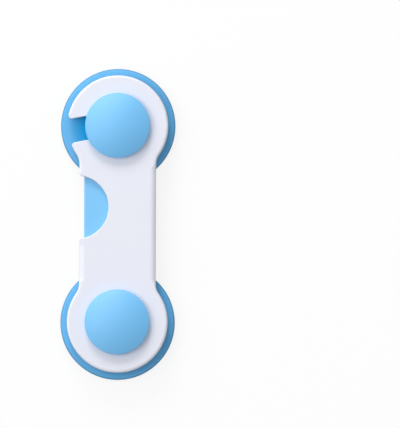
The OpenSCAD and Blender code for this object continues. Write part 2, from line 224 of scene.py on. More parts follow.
def meet(first: Track, second: Track, near: complex) -> complex:
    """Finds where two tracks cross.

    Two straights cross where their sideways distances agree. A straight crosses a circle at equal
    distances either side of the foot of its centre, and two circles cross at equal distances
    either side of the line through their centres.

    Args:
        first: One track.
        second: The other track.
        near: Place that tells the two crossings of a circle apart.

    Returns:
        The crossing nearest to that place.
    """
    if isinstance(second, Straight):
        first, second = second, first
    if isinstance(first, Straight) and isinstance(second, Straight):
        across = (first.heading.conjugate() * second.heading).imag
        along = ((second.point - first.point).conjugate() * second.heading).imag / across
        return first.point + along * first.heading
    if isinstance(first, Straight):
        foot = first.nearest(second.centre)
        reach = first.heading * math.sqrt(second.radius**2 - abs(foot - second.centre) ** 2)
    else:
        between = second.centre - first.centre
        apart = abs(between)
        along = (apart**2 + first.radius**2 - second.radius**2) / (2.0 * apart)
        foot = first.centre + between / apart * along
        reach = 1j * between / apart * math.sqrt(first.radius**2 - along**2)
    return min((foot + reach, foot - reach), key=lambda crossing: abs(crossing - near))


@dataclass(frozen=True)
class Leg:
    """One stretch of an outline, up to its corner with the next.

    Attributes:
        track: Line or circle that the leg follows.
        corner: Rough place of the corner at the leg's end.
        corner_radius: Radius of that corner in plan, or 0 for a sharp one.
        edge: Rounding of the moulding's edge along the leg.
        exact: Whether the leg ends at the corner as given, and the next one goes on from there.
    """

    track: Track
    corner: complex
    corner_radius: float = 0.0
    edge: float = 0.0
    exact: bool = False

    def turn_into(self, following: "Leg") -> tuple[complex, Optional[Round], complex]:
        """Works out the corner with the next leg.

        A rounded corner's centre lies its radius to the inner side of both tracks, and its arc
        touches each at the foot of that centre.

        Args:
            following: The next leg.

        Returns:
            Where this leg stops, the corner's arc if it has one, and where the next leg starts.
        """
        if self.exact:
            return self.corner, None, self.corner
        place = meet(self.track, following.track, self.corner)
        if self.corner_radius == 0.0:
            return place, None, place
        arriving = self.track.heading_at(place)
        leaving = following.track.heading_at(place)
        side = 1 if (arriving.conjugate() * leaving).imag > 0.0 else -1
        inset = side * self.corner_radius
        centre = meet(self.track.shifted(inset), following.track.shifted(inset), place)
        arc = Round(centre, self.corner_radius, side)
        return self.track.nearest(centre), arc, following.track.nearest(centre)


@dataclass(frozen=True)
class Outline:
    """A closed plan outline, sampled in order.

    Attributes:
        points: Plan points.
        headings: Unit headings at the points.
        legs: Number of the leg that each point lies on. A corner's arc counts to the leg before it.
        edges: Rounding of the moulding's edge at each point.

    EDGE_SLOPE is how fast that rounding may change along the outline, and CORNER_SHARE the largest
    part of an outward corner's radius that it takes up.
    """

    points: np.ndarray
    headings: np.ndarray
    legs: np.ndarray
    edges: np.ndarray

    EDGE_SLOPE = 0.8
    CORNER_SHARE = 0.75

    @classmethod
    def along(cls, legs: Sequence[Leg], spacing: float = 0.9 * MM) -> "Outline":
        """Samples an outline along its legs and corners.

        The edge's rounding is the least, over all stretches, of a stretch's own rounding plus a
        fixed slope times the way to it, so a large rounding eases down to a small one.

        Args:
            legs: The legs in order, with the material on their left.
            spacing: Largest distance between samples.

        Returns:
            The sampled outline.
        """
        turns = [leg.turn_into(after) for leg, after in zip(legs, [*legs[1:], legs[0]])]
        stretches = []
        for number, (leg, (stop, arc, resume)) in enumerate(zip(legs, turns)):
            start = turns[number - 1][2]
            stretches.append((number, leg.edge, leg.track.run(start, stop, spacing)))
            if arc is not None:
                after = legs[(number + 1) % len(legs)]
                edge = min(leg.edge, after.edge)
                if arc.turn > 0:
                    edge = min(edge, cls.CORNER_SHARE * arc.radius)
                stretches.append((number, edge, arc.run(stop, resume, spacing)))
        points = np.concatenate([run[0] for _, _, run in stretches])
        headings = np.concatenate([run[1] for _, _, run in stretches])
        counts = [len(run[0]) for _, _, run in stretches]
        numbers = np.repeat([number for number, _, _ in stretches], counts)
        own = np.repeat(np.array([edge for _, edge, _ in stretches]), counts)
        return cls(points, headings, numbers, cls.eased(points, own))

    @classmethod
    def eased(cls, points: np.ndarray, values: np.ndarray) -> np.ndarray:
        """Lets values fall towards smaller neighbours with a fixed slope along the outline.

        Args:
            points: Plan points in order round the outline.
            values: Value wanted at each point.

        Returns:
            The least, over all points, of that point's value plus the slope times the way to it.
        """
        steps = np.abs(np.roll(points, -1) - points)
        way = np.concatenate([[0.0], np.cumsum(steps)])
        apart = np.abs(way[:-1, None] - way[None, :-1])
        apart = np.minimum(apart, way[-1] - apart)
        return np.min(values[None, :] + cls.EDGE_SLOPE * apart, axis=1)

    @classmethod
    def circle(
        cls, centre: complex, radius: float, turn: int, edge: float = 0.0, spacing: float = 0.6 * MM
    ) -> "Outline":
        """Lays out a whole circle.

        Args:
            centre: Middle of the circle.
            radius: Its radius.
            turn: 1 to run anticlockwise round a boss, or -1 to run clockwise round a hole.
            edge: Rounding of its edges.
            spacing: Largest distance between samples.

        Returns:
            The sampled outline.
        """
        start = centre + radius
        points, headings = Round(centre, radius, turn).run(start, start, spacing)
        count = len(points)
        return cls(points, headings, np.zeros(count, dtype=int), np.full(count, edge))

    @property
    def inward(self) -> np.ndarray:
        """Returns the unit normals that point into the material."""
        return 1j * self.headings

    def nearest(self, place: complex) -> int:
        """Returns the number of the point nearest to a place."""
        return int(np.argmin(np.abs(self.points - place)))

    def reversed(self) -> "Outline":
        """Returns the outline run the other way, for the wall of a hollow of this shape."""
        return Outline(self.points[::-1], -self.headings[::-1], self.legs[::-1], self.edges[::-1])


class Shell:
    """Gathers the faces of one closed moulding, then makes its mesh.

    QUARTER_STEPS is the number of steps in a rounded edge, and GUARD the width of the flat strip
    beyond it. The other two are the kind of triangulation, inside the loops only, and the
    distance in millimetres under which it takes two points for one.
    """

    QUARTER_STEPS = 7
    GUARD = 0.12 * MM
    INSIDE_LOOPS = 1
    SAME_POINT = 1.0e-6

    def __init__(self) -> None:
        """Starts with no points and no faces."""
        self._blocks: list[np.ndarray] = []
        self._faces: list[np.ndarray] = []
        self._count = 0

    def add_points(self, block: np.ndarray) -> np.ndarray:
        """Adds points and returns their numbers in the same layout.

        Args:
            block: Points, with x, y and z on the last axis.

        Returns:
            Point numbers, shaped as the block without its last axis.
        """
        shape = block.shape[:-1]
        numbers = self._count + np.arange(int(np.prod(shape))).reshape(shape)
        self._blocks.append(block.reshape(-1, 3))
        self._count += numbers.size
        return numbers

    def add_grid(
        self, block: np.ndarray, keep: Optional[np.ndarray] = None, closed: bool = True
    ) -> np.ndarray:
        """Adds a grid of points with a face in each of its cells.

        A cell's face looks to the side given by its first axis crossed with its second.

        Args:
            block: Points, with the two grid directions and then x, y and z.
            keep: Cells that get a face, or None for all.
            closed: Whether the first direction runs round to its start.

        Returns:
            Point numbers of the grid.
        """
        numbers = self.add_points(block)
        ahead = np.roll(numbers, -1, axis=0)
        quads = np.stack([numbers[:, :-1], ahead[:, :-1], ahead[:, 1:], numbers[:, 1:]], axis=-1)
        if not closed:
            quads = quads[:-1]
        if keep is not None:
            quads = quads[keep[: len(quads)]]
        self._faces.append(quads.reshape(-1, 4))
        return numbers

    def add_faces(self, faces: np.ndarray) -> None:
        """Adds faces between points that are already there, one to a row of point numbers."""
        self._faces.append(faces)

    def add_skirt(
        self,
        outline: Outline,
        insets: np.ndarray,
        heights: np.ndarray,
        keep: Optional[np.ndarray] = None,
    ) -> np.ndarray:
        """Carries an upright edge profile along an outline.

        Each point is the outline's point, moved into the material by the profile's inset there.

        Args:
            outline: Outline that the profile follows.
            insets: Insets for each outline point and profile row.
            heights: Heights for each outline point and profile row, rising along the rows.
            keep: Cells that get a face, or None for all.

        Returns:
            Point numbers, by outline point and profile row.
        """
        plan = outline.points[:, None] + outline.inward[:, None] * insets
        return self.add_grid(np.stack([plan.real, plan.imag, heights], axis=-1), keep)

    @classmethod
    def edge_rows(
        cls,
        low: float,
        high: float,
        low_edge: np.ndarray,
        high_edge: np.ndarray,
        between: Sequence[float] = (),
    ) -> tuple[np.ndarray, np.ndarray]:
        """Works out the profile of an upright wall with two rounded edges.

        Each edge is a quarter circle, and a short flat guard beyond it keeps the flat face flat.

        Args:
            low: Height of the lower face.
            high: Height of the upper face.
            low_edge: Radius of the lower edge at each outline point.
            high_edge: Radius of the upper edge at each outline point.
            between: Heights of further rows on the wall, which stay below the upper edge.

        Returns:
            Insets and heights, by outline point and profile row.
        """
        quarter = np.linspace(0.0, math.pi / 2.0, cls.QUARTER_STEPS + 1)
        below = low_edge[:, None]
        above = high_edge[:, None]
        guard_below = below + cls.GUARD * (below > 0.0)
        zeros = np.zeros_like(below)
        walls = [np.minimum(zeros + height, high - above - cls.GUARD) for height in between]
        insets = [guard_below, below * (1.0 - np.sin(quarter)), *[zeros for _ in walls]]
        insets += [above * (1.0 - np.cos(quarter)), above + cls.GUARD]
        heights = [zeros + low, low + below * (1.0 - np.cos(quarter)), *walls]
        heights += [high - above * (1.0 - np.sin(quarter)), zeros + high]
        return np.concatenate(insets, axis=1), np.concatenate(heights, axis=1)

    def add_flat(self, loops: Sequence[np.ndarray], up: bool) -> None:
        """Closes a level face between loops of points.

        The loops are triangulated together, and a triangle stays where the loops wind once round
        its middle: anticlockwise loops bound the face, and clockwise ones its holes.

        Args:
            loops: Point numbers of each loop, in order.
            up: Whether the face looks up.
        """
        numbers = np.concatenate(loops)
        cloud = np.concatenate(self._blocks)[numbers]
        edges = []
        offset = 0
        for loop in loops:
            own = offset + np.arange(len(loop))
            edges.append(np.stack([own, np.roll(own, -1)], axis=-1))
            offset += len(loop)
        edges = np.concatenate(edges)
        flat = [Vector((x, y)) for x, y in (cloud[:, :2] / MM).tolist()]
        corners, _, triangles, origins, _, _ = delaunay_2d_cdt(
            flat, edges.tolist(), [], self.INSIDE_LOOPS, self.SAME_POINT
        )
        place = np.array([corner[:] for corner in corners]) @ np.array([1.0, 1j]) * MM
        triangles = np.array(triangles)
        middle = place[triangles].mean(axis=1)
        plan = cloud[:, 0] + 1j * cloud[:, 1]
        before = plan[edges[:, 0]] - middle[:, None]
        after = plan[edges[:, 1]] - middle[:, None]
        turned = np.angle(after / before)
        triangles = triangles[turned.sum(axis=1) > math.pi]
        sides = place[triangles]
        area = ((sides[:, 1] - sides[:, 0]).conj() * (sides[:, 2] - sides[:, 0])).imag
        triangles = np.where((area > 0.0)[:, None] == up, triangles, triangles[:, ::-1])
        source = np.array([origin[0] for origin in origins])
        self._faces.append(numbers[source[triangles]])

    def close(self, skins: Sequence[np.ndarray]) -> None:
        """Closes the upper and the lower face between skirts, at their last and first rows."""
        self.add_flat([skin[:, -1] for skin in skins], up=True)
        self.add_flat([skin[:, 0] for skin in skins], up=False)

    def add_lathe(
        self, profile: np.ndarray, centre: complex, closed: bool, segments: int = 160
    ) -> None:
        """Turns a profile about an upright axis.

        A profile point is radius + height j, and its ring is centre + radius times a unit spoke.

        Args:
            profile: Profile points, with the material on the left of their order.
            centre: Plan place of the axis.
            closed: Whether the profile joins its start. An open one starts and ends on the axis.
            segments: Number of steps round the axis.
        """
        if closed:
            profile = np.append(profile, profile[:1])
        spokes = np.exp(1j * FULL_TURN * np.arange(segments) / segments)
        plan = centre + spokes[:, None] * profile.real[None, :]
        heights = np.broadcast_to(profile.imag, plan.shape)
        self.add_grid(np.stack([plan.real, plan.imag, heights], axis=-1))

    def finish(self, name: str, sharp_degrees: float = 38.0) -> bpy.types.Object:
        """Makes the mesh object, with doubles merged and sharp edges marked.

        Args:
            name: Name of the object.
            sharp_degrees: Angle past which an edge is shaded sharp.

        Returns:
            The new object, linked to the scene.
        """
        mesh = bpy.data.meshes.new(name)
        faces = [face for block in self._faces for face in block.tolist()]
        mesh.from_pydata(np.concatenate(self._blocks).tolist(), [], faces)
        work = bmesh.new()
        work.from_mesh(mesh)
        bmesh.ops.remove_doubles(work, verts=work.verts, dist=MERGE_DISTANCE)
        bmesh.ops.dissolve_degenerate(work, edges=work.edges, dist=MERGE_DISTANCE)
        loose = [vertex for vertex in work.verts if not vertex.link_faces]
        bmesh.ops.delete(work, geom=loose, context="VERTS")
        work.to_mesh(mesh)
        work.free()
        mesh.polygons.foreach_set("use_smooth", np.ones(len(mesh.polygons), dtype=bool))
        mesh.set_sharp_from_angle(angle=math.radians(sharp_degrees))
        mesh.update()
        piece = bpy.data.objects.new(name, mesh)
        bpy.context.scene.collection.objects.link(piece)
        return piece


def rounded_profile(
    points: Sequence[complex], radii: Sequence[float], closed: bool, steps: int = 7
) -> np.ndarray:
    """Rounds the corners of a profile.

    A corner's arc touches both sides at the radius times the tangent of half the turn before and
    after the corner, and is blended between those points by equal angles about its centre.

    Args:
        points: Corners in order, as radius + height j.
        radii: Rounding of each corner, or 0 for a sharp one.
        closed: Whether the last corner joins the first.
        steps: Steps in each arc.

    Returns:
        The profile's points.
    """
    stretches = []
    for number, (corner, radius) in enumerate(zip(points, radii)):
        at_end = not closed and number in (0, len(points) - 1)
        if radius == 0.0 or at_end:
            stretches.append(np.array([corner]))
            continue
        arriving = corner - points[number - 1]
        leaving = points[(number + 1) % len(points)] - corner
        turn = np.angle(leaving / arriving)
        heading = arriving / abs(arriving)
        touch = corner - heading * radius * math.tan(abs(turn) / 2.0)
        spoke = -1j * math.copysign(1.0, turn) * heading * radius
        angles = np.linspace(0.0, turn, steps + 1)
        stretches.append(touch - spoke + spoke * np.exp(1j * angles))
    return np.concatenate(stretches)


class NodeTree:
    """A small hand for adding nodes to a material or a group."""

    def __init__(self, tree: bpy.types.NodeTree) -> None:
        """Takes the tree to add to."""
        self.tree = tree

    def add(self, kind: str, **settings: object) -> bpy.types.Node:
        """Adds a node.

        Args:
            kind: Blender's name of the node type.
            settings: Attributes of the node, or values of inputs where no attribute has the name.

        Returns:
            The new node.
        """
        node = self.tree.nodes.new(kind)
        for name, value in settings.items():
            if hasattr(node, name):
                setattr(node, name, value)
            else:
                node.inputs[name.replace("_", " ")].default_value = value
        return node

    def join(self, source: bpy.types.NodeSocket, target: bpy.types.NodeSocket) -> None:
        """Links an output to an input."""
        self.tree.links.new(source, target)

    def math(self, operation: str, first: object, second: object) -> bpy.types.NodeSocket:
        """Adds a sum, product or the like of two sockets or numbers.

        Args:
            operation: Blender's name of the operation.
            first: Socket or number.
            second: Socket or number.

        Returns:
            The socket of the result.
        """
        node = self.add("ShaderNodeMath", operation=operation)
        for place, value in zip(node.inputs, (first, second)):
            if isinstance(value, bpy.types.NodeSocket):
                self.join(value, place)
            else:
                place.default_value = value
        return node.outputs[0]


class SurfaceEffect(Enum):
    """Shader groups that several finishes share."""

    MOULDED_SKIN = "moulded_skin"
    COLOUR_DRIFT = "colour_drift"
    # Painted shade: a deeper blue round each post, for the shade in the hook slot.
    PAINTED_SLOT_SHADE = "painted_slot_shade"
    # Painted shade on rounded edges and sides.
    PAINTED_EDGE_SHADE = "painted_edge_shade"


class EffectLibrary:
    """Builds each shared shader group once.

    Attributes:
        COLOUR, VALUE: Kinds of sockets.
        MIX_MASK, MIX_FIRST, MIX_SECOND, MIX_RESULT: Sockets of a Mix node that mixes colours.
        MIDDLE: Mean of a noise.
        HANDLED_SCALE: Patches that hands have polished, to a metre.
        GRAIN_SWING: Swing of the roughness from grain to grain.
        FLOW_SCALE: Streams of melt to a metre.
        POST: Distance of each post from the lock's middle.
        SHADE_REACH: Distances from a post over which painted shade gives way to the plain colour.
    """

    COLOUR = "NodeSocketColor"
    VALUE = "NodeSocketFloat"
    MIX_MASK, MIX_FIRST, MIX_SECOND, MIX_RESULT = 0, 6, 7, 2
    MIDDLE = 0.5
    HANDLED_SCALE = 55.0
    GRAIN_SWING = 0.06
    FLOW_SCALE = 24.0
    POST = 43.0 * MM
    # Painted shade round each post gives way to the plain pigment between these distances.
    SHADE_REACH = (14.0 * MM, 22.5 * MM)

    @classmethod
    def group(cls, effect: SurfaceEffect) -> bpy.types.NodeTree:
        """Returns a shared group, built on first use.

        Args:
            effect: Which group.

        Returns:
            The node group.
        """
        found = bpy.data.node_groups.get(effect.value)
        if found is not None:
            return found
        tree = bpy.data.node_groups.new(effect.value, "ShaderNodeTree")
        builders = {
            SurfaceEffect.MOULDED_SKIN: cls._moulded_skin,
            SurfaceEffect.COLOUR_DRIFT: cls._colour_drift,
            SurfaceEffect.PAINTED_SLOT_SHADE: cls._painted_slot_shade,
            SurfaceEffect.PAINTED_EDGE_SHADE: cls._painted_edge_shade,
        }
        builders[effect](tree)
        return tree

    @classmethod
    def place(cls, nodes: NodeTree, effect: SurfaceEffect) -> bpy.types.Node:
        """Adds a shared group to a material's nodes and returns its node."""
        return nodes.add("ShaderNodeGroup", node_tree=cls.group(effect))

    @classmethod
    def _open(
        cls, tree: bpy.types.NodeTree, inputs: dict[str, Optional[float]], outputs: dict[str, str]
    ) -> tuple[NodeTree, bpy.types.Node, bpy.types.Node]:
        """Gives a group its sockets and its two end nodes.

        Args:
            tree: The group.
            inputs: Name and default of each input. One without a default is a colour.
            outputs: Name and kind of each output.

        Returns:
            The group's nodes, its input node and its output node.
        """
        for name, value in inputs.items():
            kind = cls.COLOUR if value is None else cls.VALUE
            socket = tree.interface.new_socket(name=name, in_out="INPUT", socket_type=kind)
            if value is not None:
                socket.default_value = value
        for name, kind in outputs.items():
            tree.interface.new_socket(name=name, in_out="OUTPUT", socket_type=kind)
        nodes = NodeTree(tree)
        return nodes, nodes.add("NodeGroupInput"), nodes.add("NodeGroupOutput")

    @classmethod
    def _blend(
        cls,
        nodes: NodeTree,
        mask: bpy.types.NodeSocket,
        first: bpy.types.NodeSocket,
        second: bpy.types.NodeSocket,
    ) -> bpy.types.NodeSocket:
        """Mixes two colours.

        Args:
            nodes: Nodes to add to.
            mask: Part of the second colour.
            first: Colour where the mask is 0.
            second: Colour where the mask is 1.

        Returns:
            The socket of the mixed colour.
        """
        mix = nodes.add("ShaderNodeMix", data_type="RGBA")
        nodes.join(mask, mix.inputs[cls.MIX_MASK])
        nodes.join(first, mix.inputs[cls.MIX_FIRST])
        nodes.join(second, mix.inputs[cls.MIX_SECOND])
        return mix.outputs[cls.MIX_RESULT]

    @classmethod
    def _moulded_skin(cls, tree: bpy.types.NodeTree) -> None:
        """Spark-eroded grain as a height, and a roughness that hands have polished unevenly."""
        nodes, given, result = cls._open(
            tree,
            {"Grain Scale": 2600.0, "Roughness": 0.4, "Polish": 0.08},
            {"Height": cls.VALUE, "Roughness": cls.VALUE},
        )
        place = nodes.add("ShaderNodeTexCoord").outputs["Object"]
        grain = nodes.add("ShaderNodeTexNoise", Detail=3.0, Roughness=0.6)
        nodes.join(place, grain.inputs["Vector"])
        nodes.join(given.outputs["Grain Scale"], grain.inputs["Scale"])
        handled = nodes.add(
            "ShaderNodeTexNoise", Scale=cls.HANDLED_SCALE, Detail=4.0, Roughness=0.55
        )
        nodes.join(place, handled.inputs["Vector"])
        nodes.join(grain.outputs["Fac"], result.inputs["Height"])
        swing = nodes.math("SUBTRACT", handled.outputs["Fac"], cls.MIDDLE)
        polish = nodes.math("MULTIPLY", swing, given.outputs["Polish"])
        grainy = nodes.math("SUBTRACT", grain.outputs["Fac"], cls.MIDDLE)
        grainy = nodes.math("MULTIPLY", grainy, cls.GRAIN_SWING)
        rough = nodes.math("ADD", given.outputs["Roughness"], polish)
        nodes.join(nodes.math("ADD", rough, grainy), result.inputs["Roughness"])

    @classmethod
    def _colour_drift(cls, tree: bpy.types.NodeTree) -> None:
        """Slow drift of a pigment's depth, as melt leaves it in a moulding."""
        nodes, given, result = cls._open(
            tree, {"Colour": None, "Amount": 0.04}, {"Colour": cls.COLOUR}
        )
        place = nodes.add("ShaderNodeTexCoord").outputs["Object"]
        flow = nodes.add("ShaderNodeTexNoise", Scale=cls.FLOW_SCALE, Detail=2.0, Roughness=0.5)
        nodes.join(place, flow.inputs["Vector"])
        swing = nodes.math("SUBTRACT", flow.outputs["Fac"], cls.MIDDLE)
        value = nodes.math("ADD", nodes.math("MULTIPLY", swing, given.outputs["Amount"]), 1.0)
        shade = nodes.add("ShaderNodeHueSaturation")
        nodes.join(given.outputs["Colour"], shade.inputs["Color"])
        nodes.join(value, shade.inputs["Value"])
        nodes.join(shade.outputs["Color"], result.inputs["Colour"])

    @classmethod
    def _painted_slot_shade(cls, tree: bpy.types.NodeTree) -> None:
        """Painted shade: deeper pigment within the circle that the arm's ends keep covered.

        It stands in for the shade in the hook slot beside the cap. The distance from the nearer
        post's axis is the root of the square of the place across the lock plus the square of its
        distance along the lock from that post.
        """
        nodes, given, result = cls._open(
            tree, {"Unshaded": None, "Painted Shade": None, "Post": cls.POST}, {"Colour": cls.COLOUR}
        )
        parts = nodes.add("ShaderNodeSeparateXYZ")
        nodes.join(nodes.add("ShaderNodeTexCoord").outputs["Object"], parts.inputs["Vector"])
        along = nodes.math("ABSOLUTE", parts.outputs["Y"], 0.0)
        along = nodes.math("SUBTRACT", along, given.outputs["Post"])
        across = nodes.math("MULTIPLY", parts.outputs["X"], parts.outputs["X"])
        squares = nodes.math("ADD", across, nodes.math("MULTIPLY", along, along))
        fade = nodes.add("ShaderNodeMapRange", interpolation_type="SMOOTHSTEP")
        fade.inputs["From Min"].default_value, fade.inputs["From Max"].default_value = cls.SHADE_REACH
        nodes.join(nodes.math("SQRT", squares, 0.0), fade.inputs["Value"])
        painted_shade, unshaded = given.outputs["Painted Shade"], given.outputs["Unshaded"]
        colour = cls._blend(nodes, fade.outputs["Result"], painted_shade, unshaded)
        nodes.join(colour, result.inputs["Colour"])

    @classmethod
    def _painted_edge_shade(cls, tree: bpy.types.NodeTree) -> None:
        """Painted shade: another, darker tone where a moulding turns from its face into its side.

        It stands in for the shade on edges and sides that turn from the light. The mask is a
        smooth step of the outward direction's upward part: nothing at Start, full at End and on
        the sides.
        """
        nodes, given, result = cls._open(
            tree, {"Face": None, "Edge Shade": None, "Start": 0.97, "End": 0.5}, {"Colour": cls.COLOUR}
        )
        parts = nodes.add("ShaderNodeSeparateXYZ")
        nodes.join(nodes.add("ShaderNodeTexCoord").outputs["Normal"], parts.inputs["Vector"])
        turn = nodes.add("ShaderNodeMapRange", interpolation_type="SMOOTHSTEP")
        nodes.join(parts.outputs["Z"], turn.inputs["Value"])
        nodes.join(given.outputs["Start"], turn.inputs["From Min"])
        nodes.join(given.outputs["End"], turn.inputs["From Max"])
        face, edge = given.outputs["Face"], given.outputs["Edge Shade"]
        nodes.join(cls._blend(nodes, turn.outputs["Result"], face, edge), result.inputs["Colour"])


def bare_material(name: str) -> tuple[bpy.types.Material, NodeTree, bpy.types.Node]:
    """Makes a material with a Principled shader and nothing else.

    Args:
        name: Name of the material.

    Returns:
        The material, its node tree and its shader.
    """
    material = bpy.data.materials.new(name)
    material.use_nodes = True
    material.node_tree.nodes.clear()
    nodes = NodeTree(material.node_tree)
    shader = nodes.add("ShaderNodeBsdfPrincipled")
    output = nodes.add("ShaderNodeOutputMaterial")
    nodes.join(shader.outputs["BSDF"], output.inputs["Surface"])
    return material, nodes, shader


@dataclass(frozen=True)
class PlasticFinish:
    """Satin moulded plastic.

    Attributes:
        name: Name of the material.
        colour: Linear colour of the pigment.
        roughness: Mean roughness.
        specular_level: Strength of the surface's own reflection, of which 0.5 is usual.
        coat: Weight of the glassy skin that a polished mould leaves.
        grain_scale: Grains of the mould's skin to a metre.
        grain_depth: Depth of that grain.
        painted_shade: Linear colour of the painted shade round each post, which deepens the
            pigment.
        edge: Linear colour of the painted shade on the rounded edges and the sides, where it has
            one.
        shade_turn: Upward part of the outward direction at which that shade starts and is full.
        index: Refractive index.
        bump: Strength of the grain's bump.
    """

    name: str
    colour: tuple[float, float, float]
    roughness: float
    specular_level: float = 0.5
    coat: float = 0.0
    grain_scale: float = 2600.0
    grain_depth: float = 0.004 * MM
    painted_shade: Optional[tuple[float, float, float]] = None
    edge: Optional[tuple[float, float, float]] = None
    shade_turn: tuple[float, float] = (0.97, 0.5)
    index: float = 1.54
    bump: float = 0.5

    def material(self) -> bpy.types.Material:
        """Makes the finish as a material.

        The pigment passes through the painted shade round the posts, the painted edge shade and
        the drift, where the finish has them, before it reaches the shader.

        Returns:
            The new material.
        """
        material, nodes, shader = bare_material(self.name)
        skin = EffectLibrary.place(nodes, SurfaceEffect.MOULDED_SKIN)
        skin.inputs["Grain Scale"].default_value = self.grain_scale
        skin.inputs["Roughness"].default_value = self.roughness
        drift = EffectLibrary.place(nodes, SurfaceEffect.COLOUR_DRIFT)
        face = drift.inputs["Colour"]
        face.default_value = (*self.colour, 1.0)
        # Painted shade: a darker colour on the rounded edges and the sides stands in for their
        # shade.
        if self.edge is not None:
            tone = EffectLibrary.place(nodes, SurfaceEffect.PAINTED_EDGE_SHADE)
            tone.inputs["Edge Shade"].default_value = (*self.edge, 1.0)
            tone.inputs["Start"].default_value, tone.inputs["End"].default_value = self.shade_turn
            nodes.join(tone.outputs["Colour"], face)
            face = tone.inputs["Face"]
            face.default_value = (*self.colour, 1.0)
        # Painted shade: a deeper blue round each post stands in for the shade in the hook slot.
        if self.painted_shade is not None:
            fade = EffectLibrary.place(nodes, SurfaceEffect.PAINTED_SLOT_SHADE)
            fade.inputs["Unshaded"].default_value = (*self.colour, 1.0)
            fade.inputs["Painted Shade"].default_value = (*self.painted_shade, 1.0)
            nodes.join(fade.outputs["Colour"], face)
        bump = nodes.add("ShaderNodeBump", Strength=self.bump, Distance=self.grain_depth)
        nodes.join(skin.outputs["Height"], bump.inputs["Height"])
        nodes.join(bump.outputs["Normal"], shader.inputs["Normal"])
        nodes.join(skin.outputs["Roughness"], shader.inputs["Roughness"])
        nodes.join(drift.outputs["Colour"], shader.inputs["Base Color"])
        shader.inputs["IOR"].default_value = self.index
        shader.inputs["Specular IOR Level"].default_value = self.specular_level
        shader.inputs["Coat Weight"].default_value = self.coat
        shader.inputs["Coat Roughness"].default_value = self.roughness
        return material


@dataclass(frozen=True)
class SteelFinish:
    """Zinc-plated steel with fine drawn streaks.

    Attributes:
        name: Name of the material.
        colour: Linear colour of the plating.
        roughness: Mean roughness.
        streak_scale: Streaks to a metre.
        streak_stretch: Scale of the streaks along each axis, under 1 where they are drawn out.
        streak_swing: Swing of the roughness from streak to streak.
        drift: Drift of the colour's depth.
    """

    name: str = "zinc_plated_steel"
    colour: tuple[float, float, float] = (0.58, 0.59, 0.61)
    roughness: float = 0.32
    streak_scale: float = 5200.0
    streak_stretch: tuple[float, float, float] = (1.0, 1.0, 0.15)
    streak_swing: float = 0.3
    drift: float = 0.1

    def material(self) -> bpy.types.Material:
        """Makes the finish as a material.

        Returns:
            The new material.
        """
        material, nodes, shader = bare_material(self.name)
        place = nodes.add("ShaderNodeTexCoord").outputs["Object"]
        stretch = nodes.add("ShaderNodeMapping")
        stretch.inputs["Scale"].default_value = self.streak_stretch
        nodes.join(place, stretch.inputs["Vector"])
        streak = nodes.add(
            "ShaderNodeTexNoise", Scale=self.streak_scale, Detail=3.0, Roughness=0.6
        )
        nodes.join(stretch.outputs["Vector"], streak.inputs["Vector"])
        swing = nodes.math("SUBTRACT", streak.outputs["Fac"], EffectLibrary.MIDDLE)
        swing = nodes.math("MULTIPLY", swing, self.streak_swing)
        nodes.join(nodes.math("ADD", swing, self.roughness), shader.inputs["Roughness"])
        drift = EffectLibrary.place(nodes, SurfaceEffect.COLOUR_DRIFT)
        drift.inputs["Colour"].default_value = (*self.colour, 1.0)
        drift.inputs["Amount"].default_value = self.drift
        nodes.join(drift.outputs["Colour"], shader.inputs["Base Color"])
        shader.inputs["Metallic"].default_value = 1.0
        return material


@dataclass(frozen=True)
class FoamFinish:
    """Closed-cell foam tape: small cells on the cut edge, under a smoother adhesive skin.

    Attributes:
        name: Name of the material.
        colour: Linear colour of the cells' walls.
        roughness: Roughness in the middle of a cell.
        cell_scale: Cells to a metre.
        cell_shade: Tone of a cell's middle against its walls.
        cell_reach: Distances from a cell's middle, in cells, between which the tone changes.
        cell_depth: Depth of the cells.
        cell_bump: Strength of their bump.
        cell_roughness: Roughness that the walls add.
    """

    name: str = "adhesive_foam"
    colour: tuple[float, float, float] = (0.72, 0.73, 0.745)
    roughness: float = 0.6
    cell_scale: float = 3800.0
    cell_shade: float = 0.7
    cell_reach: tuple[float, float] = (0.05, 0.45)
    cell_depth: float = 0.05 * MM
    cell_bump: float = 0.6
    cell_roughness: float = 0.2

    def material(self) -> bpy.types.Material:
        """Makes the finish as a material.

        Returns:
            The new material.
        """
        material, nodes, shader = bare_material(self.name)
        place = nodes.add("ShaderNodeTexCoord").outputs["Object"]
        cells = nodes.add("ShaderNodeTexVoronoi", Scale=self.cell_scale)
        nodes.join(place, cells.inputs["Vector"])
        tone = nodes.add("ShaderNodeValToRGB")
        shades = (self.cell_shade, 1.0)
        for stop, reach, shade in zip(tone.color_ramp.elements, self.cell_reach, shades):
            stop.position = reach
            stop.color = (*(shade * np.array(self.colour)), 1.0)
        nodes.join(cells.outputs["Distance"], tone.inputs["Fac"])
        drift = EffectLibrary.place(nodes, SurfaceEffect.COLOUR_DRIFT)
        nodes.join(tone.outputs["Color"], drift.inputs["Colour"])
        nodes.join(drift.outputs["Colour"], shader.inputs["Base Color"])
        bump = nodes.add("ShaderNodeBump", Strength=self.cell_bump, Distance=self.cell_depth)
        nodes.join(cells.outputs["Distance"], bump.inputs["Height"])
        nodes.join(bump.outputs["Normal"], shader.inputs["Normal"])
        rough = nodes.math("MULTIPLY", cells.outputs["Distance"], self.cell_roughness)
        nodes.join(nodes.math("ADD", rough, self.roughness), shader.inputs["Roughness"])
        return material


